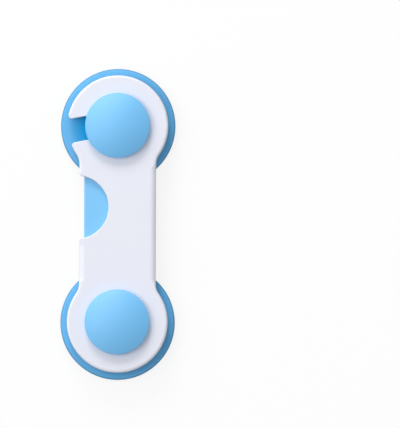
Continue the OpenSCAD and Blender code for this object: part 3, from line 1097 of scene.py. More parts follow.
@dataclass
class FinishSet:
    """The materials of the lock, one for each look.

    Attributes:
        cap_blue: Finish of the caps and the bolt.
        button_blue: Finish of the button.
        base_blue: Finish of the bases.
        white: Finish of the arm.
        steel: Finish of the screws and the spring.
        foam: Finish of the adhesive pads.
        made: The material of each look, once it is made.
    """

    cap_blue: PlasticFinish = PlasticFinish(
        "sky_blue_plastic", (0.13, 0.518, 0.925), roughness=0.6, specular_level=1.0, coat=1.0
    )
    button_blue: PlasticFinish = PlasticFinish(
        "button_blue_plastic", (0.155, 0.565, 0.98), roughness=0.6, specular_level=1.0, coat=1.0
    )
    base_blue: PlasticFinish = PlasticFinish(
        "base_blue_plastic",
        (0.142, 0.475, 0.845),
        roughness=0.65,
        specular_level=0.15,
        # Painted shade: deeper blue round each post, for the hook slot's shade.
        painted_shade=(0.004, 0.445, 0.93),
        # Painted shade: darker blue on the base's rounded rim and side.
        edge=(0.075, 0.29, 0.54),
    )
    white: PlasticFinish = PlasticFinish(
        "cool_white_plastic",
        (0.83, 0.845, 0.935),
        roughness=0.45,
        # Painted shade: a grey tone on the arm's rounded edges and sides.
        edge=(0.7, 0.695, 0.72),
        shade_turn=(0.55, 0.1),
    )
    steel: SteelFinish = SteelFinish()
    foam: FoamFinish = FoamFinish()
    made: dict[Look, bpy.types.Material] = field(default_factory=dict)

    def build(self) -> None:
        """Makes the material of every look."""
        finishes = {
            Look.CAP_BLUE: self.cap_blue,
            Look.BUTTON_BLUE: self.button_blue,
            Look.BASE_BLUE: self.base_blue,
            Look.WHITE: self.white,
            Look.STEEL: self.steel,
            Look.FOAM: self.foam,
        }
        self.made.update({look: finish.material() for look, finish in finishes.items()})

    def dress_node(self, node: str, look: Look) -> None:
        """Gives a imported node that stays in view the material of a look.

        Args:
            node: The node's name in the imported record.
            look: Finish of the node.
        """
        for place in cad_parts[node].material_slots:
            place.material = self.made[look]
        LOG.info("%s keeps its packed solid, in %s", node, look.value)

    def place(self, piece: bpy.types.Object, look: Look, body: Body, node: str) -> None:
        """Dresses a new piece, rides it on its body and lets it stand for its node.

        Args:
            piece: The new piece.
            look: Finish of the piece.
            body: Body that carries the piece.
            node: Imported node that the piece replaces.
        """
        piece.data.materials.clear()
        piece.data.materials.append(self.made[look])
        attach(piece, body.value)
        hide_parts(node)
        LOG.info("%s: %d points for %s", piece.name, len(piece.data.vertices), node)


@dataclass
class BaseAssembly:
    """One round base with its adhesive pad, domed cap and cap screw.

    Attributes:
        end: Which of the two it is.
        finishes: Materials of the lock.
        base_edge: Rounding of the base's upper rim.
        base_foot: Rounding of its lower rim.
        base_thickness: Thickness of its disc.
        thrust_radius: Radius of the raised ring under the arm.
        thrust_height: Height of that ring.
        neck_radius: Radius of the post's neck.
        socket_radius: Radius of the socket in the neck, which takes the cap's stem.
        web_radius: Radius of the screw's hole in the web under the socket.
        recess_radius: Radius of the recess for the screw's head, under the web.
        recess_height: Depth of that recess.
        web_thickness: Thickness of the web.
        rim_height: Height of the cap's upright rim.
        cap_edge: Rounding between the rim and the dome.
        cap_wall: Wall of the cap round its hollow underside.
        stem_radius: Radius of the cap's stem.
        pilot_radius: Radius of the screw's hole in the stem.
        pilot_above: Reach of that hole above the cap's seat.
        small_edge: Rounding of the lesser edges.

    RIM_POINTS, DOME_POINTS and CEILING_POINTS are the points of the cap's three arcs.
    """

    end: End
    finishes: FinishSet
    base_edge: float = 1.3 * MM
    base_foot: float = 0.4 * MM
    base_thickness: float = 3.0 * MM
    thrust_radius: float = 9.0 * MM
    thrust_height: float = 0.6 * MM
    neck_radius: float = 4.9 * MM
    socket_radius: float = 3.15 * MM
    web_radius: float = 1.45 * MM
    recess_radius: float = 2.8 * MM
    recess_height: float = 1.8 * MM
    web_thickness: float = 1.6 * MM
    rim_height: float = 2.6 * MM
    cap_edge: float = 1.0 * MM
    cap_wall: float = 1.8 * MM
    stem_radius: float = 3.0 * MM
    pilot_radius: float = 1.32 * MM
    pilot_above: float = 0.8 * MM
    small_edge: float = 0.25 * MM

    RIM_POINTS = 10
    DOME_POINTS = 40
    CEILING_POINTS = 16

    def node(self, piece: str) -> str:
        """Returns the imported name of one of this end's pieces."""
        return f"{self.end.value}_{piece}"

    def build(self) -> None:
        """Builds and dresses every piece of the assembly."""
        self.build_pad()
        self.build_base()
        self.build_cap()
        self.finishes.dress_node(self.node("cap_screw"), Look.STEEL)

    def turn(self, profile: np.ndarray, closed: bool, name: str, look: Look, piece: str) -> None:
        """Turns a profile about the post's axis and puts the new piece in place.

        Args:
            profile: Half section of the piece.
            closed: Whether the profile joins its start.
            name: Name of the new piece, without the end's.
            look: Finish of the piece.
            piece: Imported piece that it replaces, without the end's name.
        """
        node = self.node(piece)
        shell = Shell()
        shell.add_lathe(profile, NodeBox.of(node).plan_centre, closed)
        self.finishes.place(shell.finish(self.node(name)), look, Body.BASES, node)

    def build_pad(self) -> None:
        """Turns the foam pad: a disc with slightly crushed edges."""
        box = NodeBox.of(self.node("adhesive_pad"))
        low, high = box.low[2], box.high[2]
        corners = [1j * low, box.radius + 1j * low, box.radius + 1j * high, 1j * high]
        radii = [0.0, self.small_edge, self.small_edge, 0.0]
        profile = rounded_profile(corners, radii, closed=False)
        self.turn(profile, False, "foam_disc", Look.FOAM, "adhesive_pad")

    def build_base(self) -> None:
        """Turns the base: a disc with a rounded rim, the thrust ring and the hollow neck."""
        box = NodeBox.of(self.node("base"))
        low, high = box.low[2], box.high[2]
        radius = box.radius
        disc = low + self.base_thickness
        ring = disc + self.thrust_height
        recess = low + self.recess_height
        socket = recess + self.web_thickness
        shape = [
            (self.recess_radius, low, 0.0),
            (radius, low, self.base_foot),
            (radius, disc, self.base_edge),
            (self.thrust_radius, disc, self.small_edge),
            (self.thrust_radius, ring, self.small_edge),
            (self.neck_radius, ring, self.small_edge),
            (self.neck_radius, high, self.small_edge),
            (self.socket_radius, high, self.small_edge),
            (self.socket_radius, socket, 0.0),
            (self.web_radius, socket, 0.0),
            (self.web_radius, recess, 0.0),
            (self.recess_radius, recess, 0.0),
        ]
        corners = [out + 1j * height for out, height, _ in shape]
        profile = rounded_profile(corners, [edge for _, _, edge in shape], closed=True)
        self.turn(profile, True, "base_moulding", Look.BASE_BLUE, "base")

    def build_cap(self) -> None:
        """Turns the cap: a spherical dome, a rounded rim, a hollow underside and a stem.

        The dome's sphere passes through the rim's upper edge. The rim's rounding touches the rim
        and the sphere from inside, so its centre lies its radius within both.
        """
        box = NodeBox.of(self.node("cap"))
        seat = NodeBox.of(self.node("base")).high[2]
        radius = box.radius
        top = box.high[2]
        rise = top - seat - self.rim_height
        sphere = (radius**2 + rise**2) / (2.0 * rise)
        middle = 1j * (top - sphere)
        edge_r = radius - self.cap_edge
        edge = edge_r + 1j * (middle.imag + math.sqrt((sphere - self.cap_edge) ** 2 - edge_r**2))
        lean = np.angle(edge - middle)
        rim_arc = edge + self.cap_edge * np.exp(1j * np.linspace(0.0, lean, self.RIM_POINTS))
        sweep = np.linspace(lean, math.pi / 2.0, self.DOME_POINTS)
        dome = middle + sphere * np.exp(1j * sweep)
        inner = sphere - self.cap_wall
        inner_out = radius - self.cap_wall
        spokes = np.linspace(self.neck_radius, inner_out, self.CEILING_POINTS)
        spread = np.arccos(spokes / inner)
        ceiling = middle + inner * np.exp(1j * spread)
        pilot = 1j * (seat + self.pilot_above)
        low = 1j * box.low[2]
        stem = rounded_profile(
            [
                pilot,
                self.pilot_radius + pilot,
                self.pilot_radius + low,
                self.stem_radius + low,
                self.stem_radius + 1j * seat,
                self.neck_radius + 1j * seat,
            ],
            [0.0, 0.0, 0.0, 2.0 * self.small_edge, self.small_edge, 0.0],
            closed=False,
        )
        lip = rounded_profile(
            [ceiling[-1], inner_out + 1j * seat, radius + 1j * seat, radius + 1j * edge.imag],
            [0.0, self.small_edge, 2.0 * self.small_edge, 0.0],
            closed=False,
        )
        profile = np.concatenate([stem, ceiling, lip[1:-1], rim_arc, dome[1:]])
        profile[-1] = 1j * top
        self.turn(profile, False, "cap_moulding", Look.CAP_BLUE, "cap")


@dataclass
class Arm:
    """The hollow dog-bone arm: its cover, its back plate and the screws between them.

    Attributes:
        finishes: Materials of the lock.
        bar_half_width: Half the width of the bar.
        wall: Thickness of the cover's side walls.
        face: Thickness of the cover's face.
        slot_half_width: Half the width of the hook slot.
        seat_radius: Radius of the slot's round end.
        slot_wall: Wall that lines the slot.
        lip_radius: Rounding of the two lips at the slot's mouth.
        notch_out: Distance of the finger notch's centre outside the bar's edge.
        notch_rise: Distance of that centre towards the keeper from the arm's middle.
        notch_radius: Radius of the finger notch.
        notch_high_corner: Rounding of its corner towards the keeper.
        notch_low_corner: Rounding of its corner towards the pivot.
        waist_radius: Rounding of the inner corners between the bar and the round ends.
        head_edge: Rounding of the face's edge round the ends.
        bar_edge: Rounding of the face's edge along the bar.
        cut_edge: Rounding of the edges of slot, notch and bore.
        foot_edge: Rounding of the walls' feet and of the back plate's edges.
        bore_radius: Radius of the bore on the pivot's neck.
        boss_radius: Radius of the boss round that bore.
        fit: Clearance between pieces.
        tongue_width: Width of the bolt's tongue, which the window in the slot's wall lets through.
        plate_corner: Rounding of the back plate's corners in plan.
        screw_hole: Radius of the back plate's screw holes.
        screw_sink: Radius of their countersinks.
        screw_sink_depth: Depth of their countersinks.
        screw_spacing: Largest distance between samples round a screw hole.

    WINDOW_LEG and NOTCH_LEG number the cover's legs that the window and the notch leave open. The
    others are rough bearings from the keeper of the slot's lips on the outside and in the hollow.
    """

    finishes: FinishSet
    bar_half_width: float = 16.7 * MM
    wall: float = 1.9 * MM
    face: float = 2.0 * MM
    slot_half_width: float = 5.2 * MM
    seat_radius: float = 5.3 * MM
    slot_wall: float = 1.5 * MM
    lip_radius: float = 1.4 * MM
    notch_out: float = 1.0 * MM
    notch_rise: float = 7.3 * MM
    notch_radius: float = 13.8 * MM
    notch_high_corner: float = 1.0 * MM
    notch_low_corner: float = 0.6 * MM
    waist_radius: float = 8.0 * MM
    head_edge: float = 1.0 * MM
    bar_edge: float = 2.3 * MM
    cut_edge: float = 0.4 * MM
    foot_edge: float = 0.3 * MM
    bore_radius: float = 4.95 * MM
    boss_radius: float = 6.95 * MM
    fit: float = 0.15 * MM
    tongue_width: float = 5.7 * MM
    plate_corner: float = 0.5 * MM
    screw_hole: float = 1.15 * MM
    screw_sink: float = 2.05 * MM
    screw_sink_depth: float = 1.25 * MM
    screw_spacing: float = 0.3 * MM

    WINDOW_LEG = 3
    NOTCH_LEG = 8
    UPPER_LIP = math.radians(173.0)
    LOWER_LIP = math.radians(197.0)
    UPPER_HOLLOW = math.radians(165.0)
    LOWER_HOLLOW = math.radians(205.0)

    def __post_init__(self) -> None:
        """Takes the arm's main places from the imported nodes."""
        cover = NodeBox.of("arm_cover")
        self.pivot = NodeBox.of("pivot_base").plan_centre
        self.keeper = NodeBox.of("keeper_base").plan_centre
        self.span = abs(self.keeper - self.pivot)
        self.head_radius = cover.high[1] - self.keeper.imag
        self.low = cover.low[2]
        self.high = cover.high[2]
        self.ceiling = self.high - self.face
        self.sill = NodeBox.of("arm_back_plate").high[2]
        self.notch = complex(-self.bar_half_width - self.notch_out, self.notch_rise)

    def build(self) -> None:
        """Builds the cover and the back plate, and dresses the screws."""
        self.build_cover()
        self.build_back_plate()
        self.finishes.dress_node("arm_screws", Look.STEEL)

    def notch_crossing(self, upper: bool) -> complex:
        """Finds where the notch cuts the inner face of the left wall.

        Args:
            upper: Whether it is the crossing towards the keeper.

        Returns:
            The crossing.
        """
        wall = Straight(complex(self.wall - self.bar_half_width, 0.0), 1j)
        near = self.notch + (1j if upper else -1j) * self.notch_radius
        return meet(wall, Round(self.notch, self.notch_radius, 1), near)

    def cover_outline(self) -> Outline:
        """Lays out the cover in plan, anticlockwise from the slot's upper wall.

        The legs are the slot's upper wall and seat, its lower wall in three stretches round the
        bolt's window, the keeper head's lower left, the left side with the finger notch in three
        stretches, the pivot head, the right side, and the keeper head over its top.

        Returns:
            The outline.
        """
        head = self.head_radius
        side = self.bar_half_width
        waist = math.sqrt(head**2 - side**2)
        slot = self.slot_half_width
        inner, outer = self.span - slot, self.span + slot
        left, right = complex(-side, 0.0), complex(side, 0.0)
        step_up = 1j * slot
        arc = Round(self.notch, self.notch_radius, -1)
        lower_wall = Round(self.pivot, inner, 1)
        seat = Round(self.keeper, self.seat_radius, -1)
        pivot_head, keeper_head = Round(self.pivot, head, 1), Round(self.keeper, head, 1)
        left_side, right_side = Straight(left, -1j), Straight(right, 1j)
        upper_lip = self.keeper + head * np.exp(1j * self.UPPER_LIP)
        lower_lip = self.keeper + head * np.exp(1j * self.LOWER_LIP)
        cut, bend = self.cut_edge, self.waist_radius
        legs = [
            Leg(Round(self.pivot, outer, -1), self.keeper + step_up - self.fit, 0.0, cut),
            Leg(seat, self.keeper - step_up - self.fit, 0.0, cut),
            Leg(lower_wall, self.window_jamb(inner, right=True), 0.0, cut, exact=True),
            Leg(lower_wall, self.window_jamb(inner, right=False), 0.0, cut, exact=True),
            Leg(lower_wall, lower_lip, self.lip_radius, cut),
            Leg(keeper_head, self.keeper + left - 1j * waist, bend, self.head_edge),
            Leg(left_side, self.notch_corner(True), self.notch_high_corner, self.head_edge),
            Leg(arc, self.notch_crossing(True), 0.0, cut, exact=True),
            Leg(arc, self.notch_crossing(False), 0.0, cut, exact=True),
            Leg(arc, self.notch_corner(False), self.notch_low_corner, cut),
            Leg(left_side, self.pivot + left + 1j * waist, bend, self.bar_edge),
            Leg(pivot_head, self.pivot + right + 1j * waist, bend, self.head_edge),
            Leg(right_side, self.keeper + right - 1j * waist, bend, self.bar_edge),
            Leg(keeper_head, upper_lip, self.lip_radius, self.head_edge),
        ]
        return Outline.along(legs)

    def window_jamb(self, radius: float, right: bool) -> complex:
        """Returns where a side of the bolt's window meets a wall of the slot.

        Args:
            radius: Radius of that wall about the pivot.
            right: Whether it is the window's right side, rather than its left.

        Returns:
            The point of the wall's circle at that side.
        """
        across = NodeBox.of("latch_bolt").low[0] - self.fit
        if right:
            across += self.tongue_width + 2.0 * self.fit
        return complex(across, self.pivot.imag + math.sqrt(radius**2 - across**2))

    def notch_corner(self, upper: bool) -> complex:
        """Returns the notch's corner on the bar's edge, towards the keeper or the pivot."""
        reach = math.sqrt(self.notch_radius**2 - self.notch_out**2)
        return complex(-self.bar_half_width, self.notch_rise + (reach if upper else -reach))

    def cavity_outline(self, gap: float, corner: float) -> Outline:
        """Lays out the room inside the cover's walls, anticlockwise from the left wall.

        Args:
            gap: Clearance that the outline stays inside those walls.
            corner: Radius of its corners in plan.

        Returns:
            The outline. Its first three legs are the left wall above, in and below the notch.
        """
        head = self.head_radius - self.wall - gap
        side = self.bar_half_width - self.wall - gap
        waist = math.sqrt(head**2 - side**2)
        slot = self.slot_half_width + self.slot_wall + gap
        seat = self.seat_radius + self.slot_wall + gap
        inner, outer = self.span - slot, self.span + slot
        left, right = complex(-side, 0.0), complex(side, 0.0)
        upper = self.keeper + head * np.exp(1j * self.UPPER_HOLLOW)
        lower = self.keeper + head * np.exp(1j * self.LOWER_HOLLOW)
        lower_wall = Round(self.pivot, inner, 1)
        pivot_head, keeper_head = Round(self.pivot, head, 1), Round(self.keeper, head, 1)
        left_side, right_side = Straight(left, -1j), Straight(right, 1j)
        edge = self.foot_edge
        notch_upper = left + 1j * self.notch_crossing(True).imag
        notch_lower = left + 1j * self.notch_crossing(False).imag
        legs = [
            Leg(left_side, notch_upper, 0.0, edge, exact=True),
            Leg(left_side, notch_lower, 0.0, edge, exact=True),
            Leg(left_side, self.pivot + left + 1j * waist, corner, edge),
            Leg(pivot_head, self.pivot + right + 1j * waist, corner, edge),
            Leg(right_side, self.keeper + right - 1j * waist, corner, edge),
            Leg(keeper_head, upper, corner, edge),
            Leg(Round(self.pivot, outer, -1), self.keeper + 1j * slot - self.fit, corner, edge),
            Leg(Round(self.keeper, seat, -1), self.keeper - 1j * slot - self.fit, corner, edge),
            Leg(lower_wall, self.window_jamb(inner, right=True), 0.0, edge, exact=True),
            Leg(lower_wall, self.window_jamb(inner, right=False), 0.0, edge, exact=True),
            Leg(lower_wall, lower, corner, edge),
            Leg(keeper_head, self.keeper + left - 1j * waist, corner, edge),
        ]
        return Outline.along(legs)

    def build_cover(self) -> None:
        """Builds the cover as one closed shell.

        The rounded edge profile is carried along the outline. In the finger notch it starts at the
        ceiling of the hollow, because the notch cuts the face there and no wall stands below it.
        Level faces close the top, the walls' feet and the ceiling, and a short tunnel joins the
        two sides of the slot's wall at the bolt's window.
        """
        shell = Shell()
        outline = self.cover_outline()
        notch = outline.legs == self.NOTCH_LEG
        first_open = int(np.argmax(notch))
        last_open = int(np.argmax(outline.legs == self.NOTCH_LEG + 1))
        feet = Outline.eased(outline.points, np.where(notch, 0.0, self.foot_edge))
        feet[[first_open, last_open]] = 0.0
        insets, heights = Shell.edge_rows(
            self.low, self.high, feet, outline.edges, [self.sill, self.ceiling]
        )
        sill_row = Shell.QUARTER_STEPS + 2
        keep = np.ones((len(outline.points), insets.shape[1] - 1), dtype=bool)
        keep[notch, : sill_row + 1] = False
        keep[outline.legs == self.WINDOW_LEG, sill_row] = False
        skin = shell.add_skirt(outline, insets, heights, keep)
        bore_skin = self._add_bore(shell)
        shell.add_flat([skin[:, -1], bore_skin[:, -1]], up=True)

        hollow = self.cavity_outline(0.0, 0.0).reversed()
        levels = np.broadcast_to([self.low, self.sill, self.ceiling], (len(hollow.points), 3))
        inner_wall = self.span - self.slot_half_width - self.slot_wall
        lower_gap = hollow.nearest(outline.points[last_open])
        upper_gap = hollow.nearest(outline.points[first_open])
        left_jamb = hollow.nearest(self.window_jamb(inner_wall, right=False))
        right_jamb = hollow.nearest(self.window_jamb(inner_wall, right=True))
        wall_keep = np.ones((len(hollow.points), 2), dtype=bool)
        wall_keep[lower_gap:upper_gap] = False
        wall_keep[left_jamb:right_jamb, 1] = False
        inner = shell.add_skirt(hollow, np.zeros_like(levels), levels, wall_keep)
        ring = np.concatenate([skin[last_open:, 0], skin[: first_open + 1, 0]])
        rim = np.concatenate([inner[upper_gap:, 0], inner[: lower_gap + 1, 0]])
        shell.add_flat([np.concatenate([ring, rim])], up=False)
        roof = np.concatenate([inner[upper_gap:, 2], inner[: lower_gap + 1, 2]])[::-1]
        arch = skin[first_open : last_open + 1, sill_row + 1]
        boss = self._add_boss(shell, bore_skin)
        shell.add_flat([np.concatenate([roof, arch]), boss[::-1, 1]], up=False)

        window = np.flatnonzero(outline.legs == self.WINDOW_LEG)
        outside = skin[window[0] : window[-1] + 2, sill_row : sill_row + 2]
        self._add_window(shell, outside, inner[left_jamb : right_jamb + 1, 1:])
        piece = shell.finish("arm_cover_moulding")
        self.finishes.place(piece, Look.WHITE, Body.ARM, "arm_cover")

    @staticmethod
    def _add_window(shell: Shell, outside: np.ndarray, inside: np.ndarray) -> None:
        """Joins the two sides of a wall round a window with a sill, a head and two jambs.

        Args:
            shell: Shell to add to.
            outside: Point numbers on the wall's outer side from right to left, at sill and head.
            inside: Point numbers on its inner side from left to right, at sill and head.
        """
        shell.add_flat([np.concatenate([outside[:, 0], inside[:, 0]])], up=True)
        shell.add_flat([np.concatenate([outside[:, 1], inside[:, 1]])], up=False)
        right = [outside[0, 0], inside[-1, 0], inside[-1, 1], outside[0, 1]]
        left = [outside[-1, 1], inside[0, 1], inside[0, 0], outside[-1, 0]]
        shell.add_faces(np.array([right, left]))

    def _add_bore(self, shell: Shell) -> np.ndarray:
        """Adds the wall of the pivot bore and returns its point numbers."""
        bore = Outline.circle(self.pivot, self.bore_radius, -1, self.cut_edge)
        return shell.add_skirt(bore, *Shell.edge_rows(self.low, self.high, bore.edges, bore.edges))

    def _add_boss(self, shell: Shell, bore_skin: np.ndarray) -> np.ndarray:
        """Adds the boss round the bore.

        Args:
            shell: Shell to add to.
            bore_skin: Point numbers of the bore's wall.

        Returns:
            Point numbers of the boss's outside.
        """
        ring = Outline.circle(self.pivot, self.boss_radius, 1)
        levels = np.broadcast_to([self.low, self.ceiling], (len(ring.points), 2))
        boss = shell.add_skirt(ring, np.zeros_like(levels), levels)
        shell.add_flat([boss[:, 0], bore_skin[:, 0]], up=False)
        return boss

    def screw_places(self) -> list[complex]:
        """Finds the middles of the four packed screws from their mesh.

        The screws lie in the four quarters of their node's box, so each quarter's points give one.

        Returns:
            The four middles in plan.
        """
        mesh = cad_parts["arm_screws"].data
        flat = np.empty(len(mesh.vertices) * 3)
        mesh.vertices.foreach_get("co", flat)
        plan = flat.reshape(-1, 3)[:, :2] @ np.array([1.0, 1j])
        middle = NodeBox.of("arm_screws").plan_centre
        places = []
        for quarter in (1 + 1j, -1 + 1j, -1 - 1j, 1 - 1j):
            turned = (plan - middle) * quarter.conjugate()
            own = plan[np.abs(np.angle(turned)) < math.pi / 4.0]
            middles = [(side.min() + side.max()) / 2.0 for side in (own.real, own.imag)]
            places.append(complex(*middles))
        return places

    def build_back_plate(self) -> None:
        """Builds the back plate: a flat moulding with sunk screw holes and the boss's hole."""
        shell = Shell()
        box = NodeBox.of("arm_back_plate")
        low, high = box.low[2], box.high[2]
        outline = self.cavity_outline(self.fit, self.plate_corner)
        hole = Outline.circle(self.pivot, self.boss_radius + self.fit, -1, self.foot_edge)
        skins = [
            shell.add_skirt(line, *Shell.edge_rows(low, high, line.edges, line.edges))
            for line in (outline, hole)
        ]
        sink = self.screw_sink - self.screw_hole
        rows_in = np.array([sink + Shell.GUARD, sink, 0.0, 0.0, Shell.GUARD])
        rows_up = np.array([low, low, low + self.screw_sink_depth, high, high])
        for place in self.screw_places():
            hole = Outline.circle(place, self.screw_hole, -1, spacing=self.screw_spacing)
            shape = (len(hole.points), len(rows_in))
            rows = [np.broadcast_to(row, shape) for row in (rows_in, rows_up)]
            skins.append(shell.add_skirt(hole, *rows))
        shell.close(skins)
        piece = shell.finish("back_plate_moulding")
        self.finishes.place(piece, Look.WHITE, Body.ARM, "arm_back_plate")


@dataclass
class Latch:
    """The side button, the bolt that it draws and the bolt's spring.

    Attributes:
        finishes: Materials of the lock.
        travel: Travel of the button and of the bolt.
        plate_reach: Reach of the half-moon's plate into the arm.
        plate_corner: Rounding of that plate's corners in plan.
        front_edge: Rounding of its upper edge.
        back_edge: Rounding of the lesser edges.
        leaf_share: Thickness of the cam's leaf, as a part of the button's height.
        leaf_margin: Material of the leaf round the cam slot.
        cam_radius: Radius of the cam slot's round ends.
        leaf_corner: Rounding of the leaf's corners in plan.
        wire_radius: Radius of the spring's wire.
        turns: Turns of the spring.

    TURN_STEPS is the number of steps in a turn of the spring, and WIRE_SIDES that of the sides of
    its wire.
    """

    finishes: FinishSet
    travel: float = 4.0 * MM
    plate_reach: float = 12.25 * MM
    plate_corner: float = 1.2 * MM
    front_edge: float = 0.6 * MM
    back_edge: float = 0.25 * MM
    leaf_share: float = 0.476
    leaf_margin: float = 1.8 * MM
    cam_radius: float = 1.55 * MM
    leaf_corner: float = 0.8 * MM
    wire_radius: float = 0.2 * MM
    turns: int = 9

    TURN_STEPS = 40
    WIRE_SIDES = 14

    def build(self) -> None:
        """Builds the button and the spring, and dresses the bolt."""
        self.build_button()
        self.build_spring()
        self.finishes.dress_node("latch_bolt", Look.CAP_BLUE)

    @staticmethod
    def block(low: complex, high: complex, corner: float, edge: float) -> Outline:
        """Lays out a rectangle with rounded corners, anticlockwise from its left side.

        Args:
            low: Lower left corner.
            high: Upper right corner.
            corner: Radius of the corners.
            edge: Rounding of the upper edge.

        Returns:
            The outline.
        """
        lower_right = complex(high.real, low.imag)
        upper_left = complex(low.real, high.imag)
        legs = [
            Leg(Straight(low, -1j), low, corner, edge),
            Leg(Straight(low, 1.0 + 0j), lower_right, corner, edge),
            Leg(Straight(high, 1j), high, corner, edge),
            Leg(Straight(high, -1.0 + 0j), upper_left, corner, edge),
        ]
        return Outline.along(legs)

    def add_plate(
        self, shell: Shell, outline: Outline, low: float, high: float, hole: Optional[Outline]
    ) -> None:
        """Adds a flat moulding with rounded edges.

        Args:
            shell: Shell to add to.
            outline: Plan outline, whose edges are those of the upper face.
            low: Height of the lower face.
            high: Height of the upper face.
            hole: Outline of a hole, or None.
        """
        lower = np.minimum(outline.edges, self.back_edge)
        skins = [shell.add_skirt(outline, *Shell.edge_rows(low, high, lower, outline.edges))]
        if hole is not None:
            skins.append(shell.add_skirt(hole, *Shell.edge_rows(low, high, hole.edges, hole.edges)))
        shell.close(skins)

    def build_button(self) -> None:
        """Builds the button: the half-moon's plate, and the leaf with the slanting cam slot."""
        box = NodeBox.of("side_button")
        low, high = box.low[2], box.high[2]
        plate_low = complex(box.low[0], box.low[1])
        plate_high = complex(box.low[0] + self.plate_reach, box.high[1])
        shell = Shell()
        plate = self.block(plate_low, plate_high, self.plate_corner, self.front_edge)
        self.add_plate(shell, plate, low, high, None)
        spring = NodeBox.of("bolt_spring").plan_centre
        pin = complex(spring.real, box.plan_centre.imag + self.travel / 2.0)
        reach = self.cam_radius + self.leaf_margin
        leaf_low = complex(plate_high.real - self.leaf_margin, pin.imag - self.travel - reach)
        leaf_high = complex(box.high[0], pin.imag + reach)
        leaf = self.block(leaf_low, leaf_high, self.leaf_corner, self.back_edge)
        leaf_base = high - self.leaf_share * (high - low)
        self.add_plate(shell, leaf, leaf_base, high - self.back_edge / 2.0, self.cam_slot(pin))
        piece = shell.finish("half_moon_button")
        self.finishes.place(piece, Look.BUTTON_BLUE, Body.BUTTON, "side_button")

    def cam_slot(self, pin: complex) -> Outline:
        """Lays out the cam slot, clockwise: two round ends and two sides at 45 degrees.

        Args:
            pin: Middle of the bolt's pin at rest, at the slot's upper right end.

        Returns:
            The slot's outline.
        """
        slant = np.exp(1j * math.pi / 4.0)
        far = pin - self.travel * (1 + 1j)
        side = 1j * slant * self.cam_radius
        legs = [
            Leg(Straight(far + side, slant), pin + side, 0.0, self.back_edge, exact=True),
            Leg(Round(pin, self.cam_radius, -1), pin - side, 0.0, self.back_edge, exact=True),
            Leg(Straight(pin - side, -slant), far - side, 0.0, self.back_edge, exact=True),
            Leg(Round(far, self.cam_radius, -1), far + side, 0.0, self.back_edge, exact=True),
        ]
        return Outline.along(legs)

    def build_spring(self) -> None:
        """Winds the bolt's spring: a round wire carried along a helix about Y, with flat-cut ends.

        The wire's middle is at turn radius times cos and sin of the angle, rising evenly along Y.
        Its section's two directions are the spoke and the product of tangent and spoke.
        """
        box = NodeBox.of("bolt_spring")
        middle = (box.low + box.high) / 2.0
        turn_radius = box.radius - self.wire_radius
        start = box.low[1] + self.wire_radius
        rise = box.high[1] - box.low[1] - 2.0 * self.wire_radius
        share = np.linspace(0.0, 1.0, self.turns * self.TURN_STEPS + 1)
        angle = FULL_TURN * self.turns * share
        spoke = np.stack([np.cos(angle), np.zeros_like(angle), np.sin(angle)], axis=-1)
        around = np.stack([-np.sin(angle), np.zeros_like(angle), np.cos(angle)], axis=-1)
        climb = rise / (FULL_TURN * self.turns * turn_radius)
        tangent = (around + climb * np.array([0.0, 1.0, 0.0])) / math.hypot(1.0, climb)
        across = np.cross(tangent, spoke)
        centre = np.array([middle[0], start, middle[2]]) + turn_radius * spoke
        centre[:, 1] += rise * share
        section = FULL_TURN * np.arange(self.WIRE_SIDES) / self.WIRE_SIDES
        cosine, sine = np.cos(section)[:, None, None], np.sin(section)[:, None, None]
        tube = centre[None] + self.wire_radius * (cosine * spoke[None] + sine * across[None])
        ends = [np.broadcast_to(centre[end], (self.WIRE_SIDES, 1, 3)) for end in (0, -1)]
        tube = np.concatenate([ends[0], tube, ends[1]], axis=1)
        shell = Shell()
        shell.add_grid(tube[::-1])
        piece = shell.finish("bolt_spring_wire")
        self.finishes.place(piece, Look.STEEL, Body.ARM, "bolt_spring")
        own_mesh(piece)


@dataclass(frozen=True)
class SoftLight:
    """A square soft light that points at the lock.

    Attributes:
        name: Name of the light.
        aim: Direction from the lock towards the light.
        distance: Way from the lock to the light.
        size: Side of the square.
        share: Part of the plain light level that it alone brings to a level surface.
    """

    name: str
    aim: tuple[float, float, float]
    distance: float
    size: float
    share: float

    def power(self) -> float:
        """Works out the lamp's power.

        At the plain level a white surface sends back a radiance of 1, so it receives pi. A small
        lamp of power P at a distance d brings P times the sine of its elevation over pi d squared.

        Returns:
            The power in watts.
        """
        rise = Vector(self.aim).normalized().z
        return self.share * math.pi**2 * self.distance**2 / rise

    def build(self) -> None:
        """Hangs the light in the scene."""
        lamp = bpy.data.lights.new(self.name, "AREA")
        lamp.shape = "SQUARE"
        lamp.size = self.size
        lamp.energy = self.power()
        hung = bpy.data.objects.new(self.name, lamp)
        aim = Vector(self.aim).normalized()
        hung.location = aim * self.distance
        hung.rotation_euler = aim.to_track_quat("Z", "Y").to_euler()
        bpy.context.scene.collection.objects.link(hung)


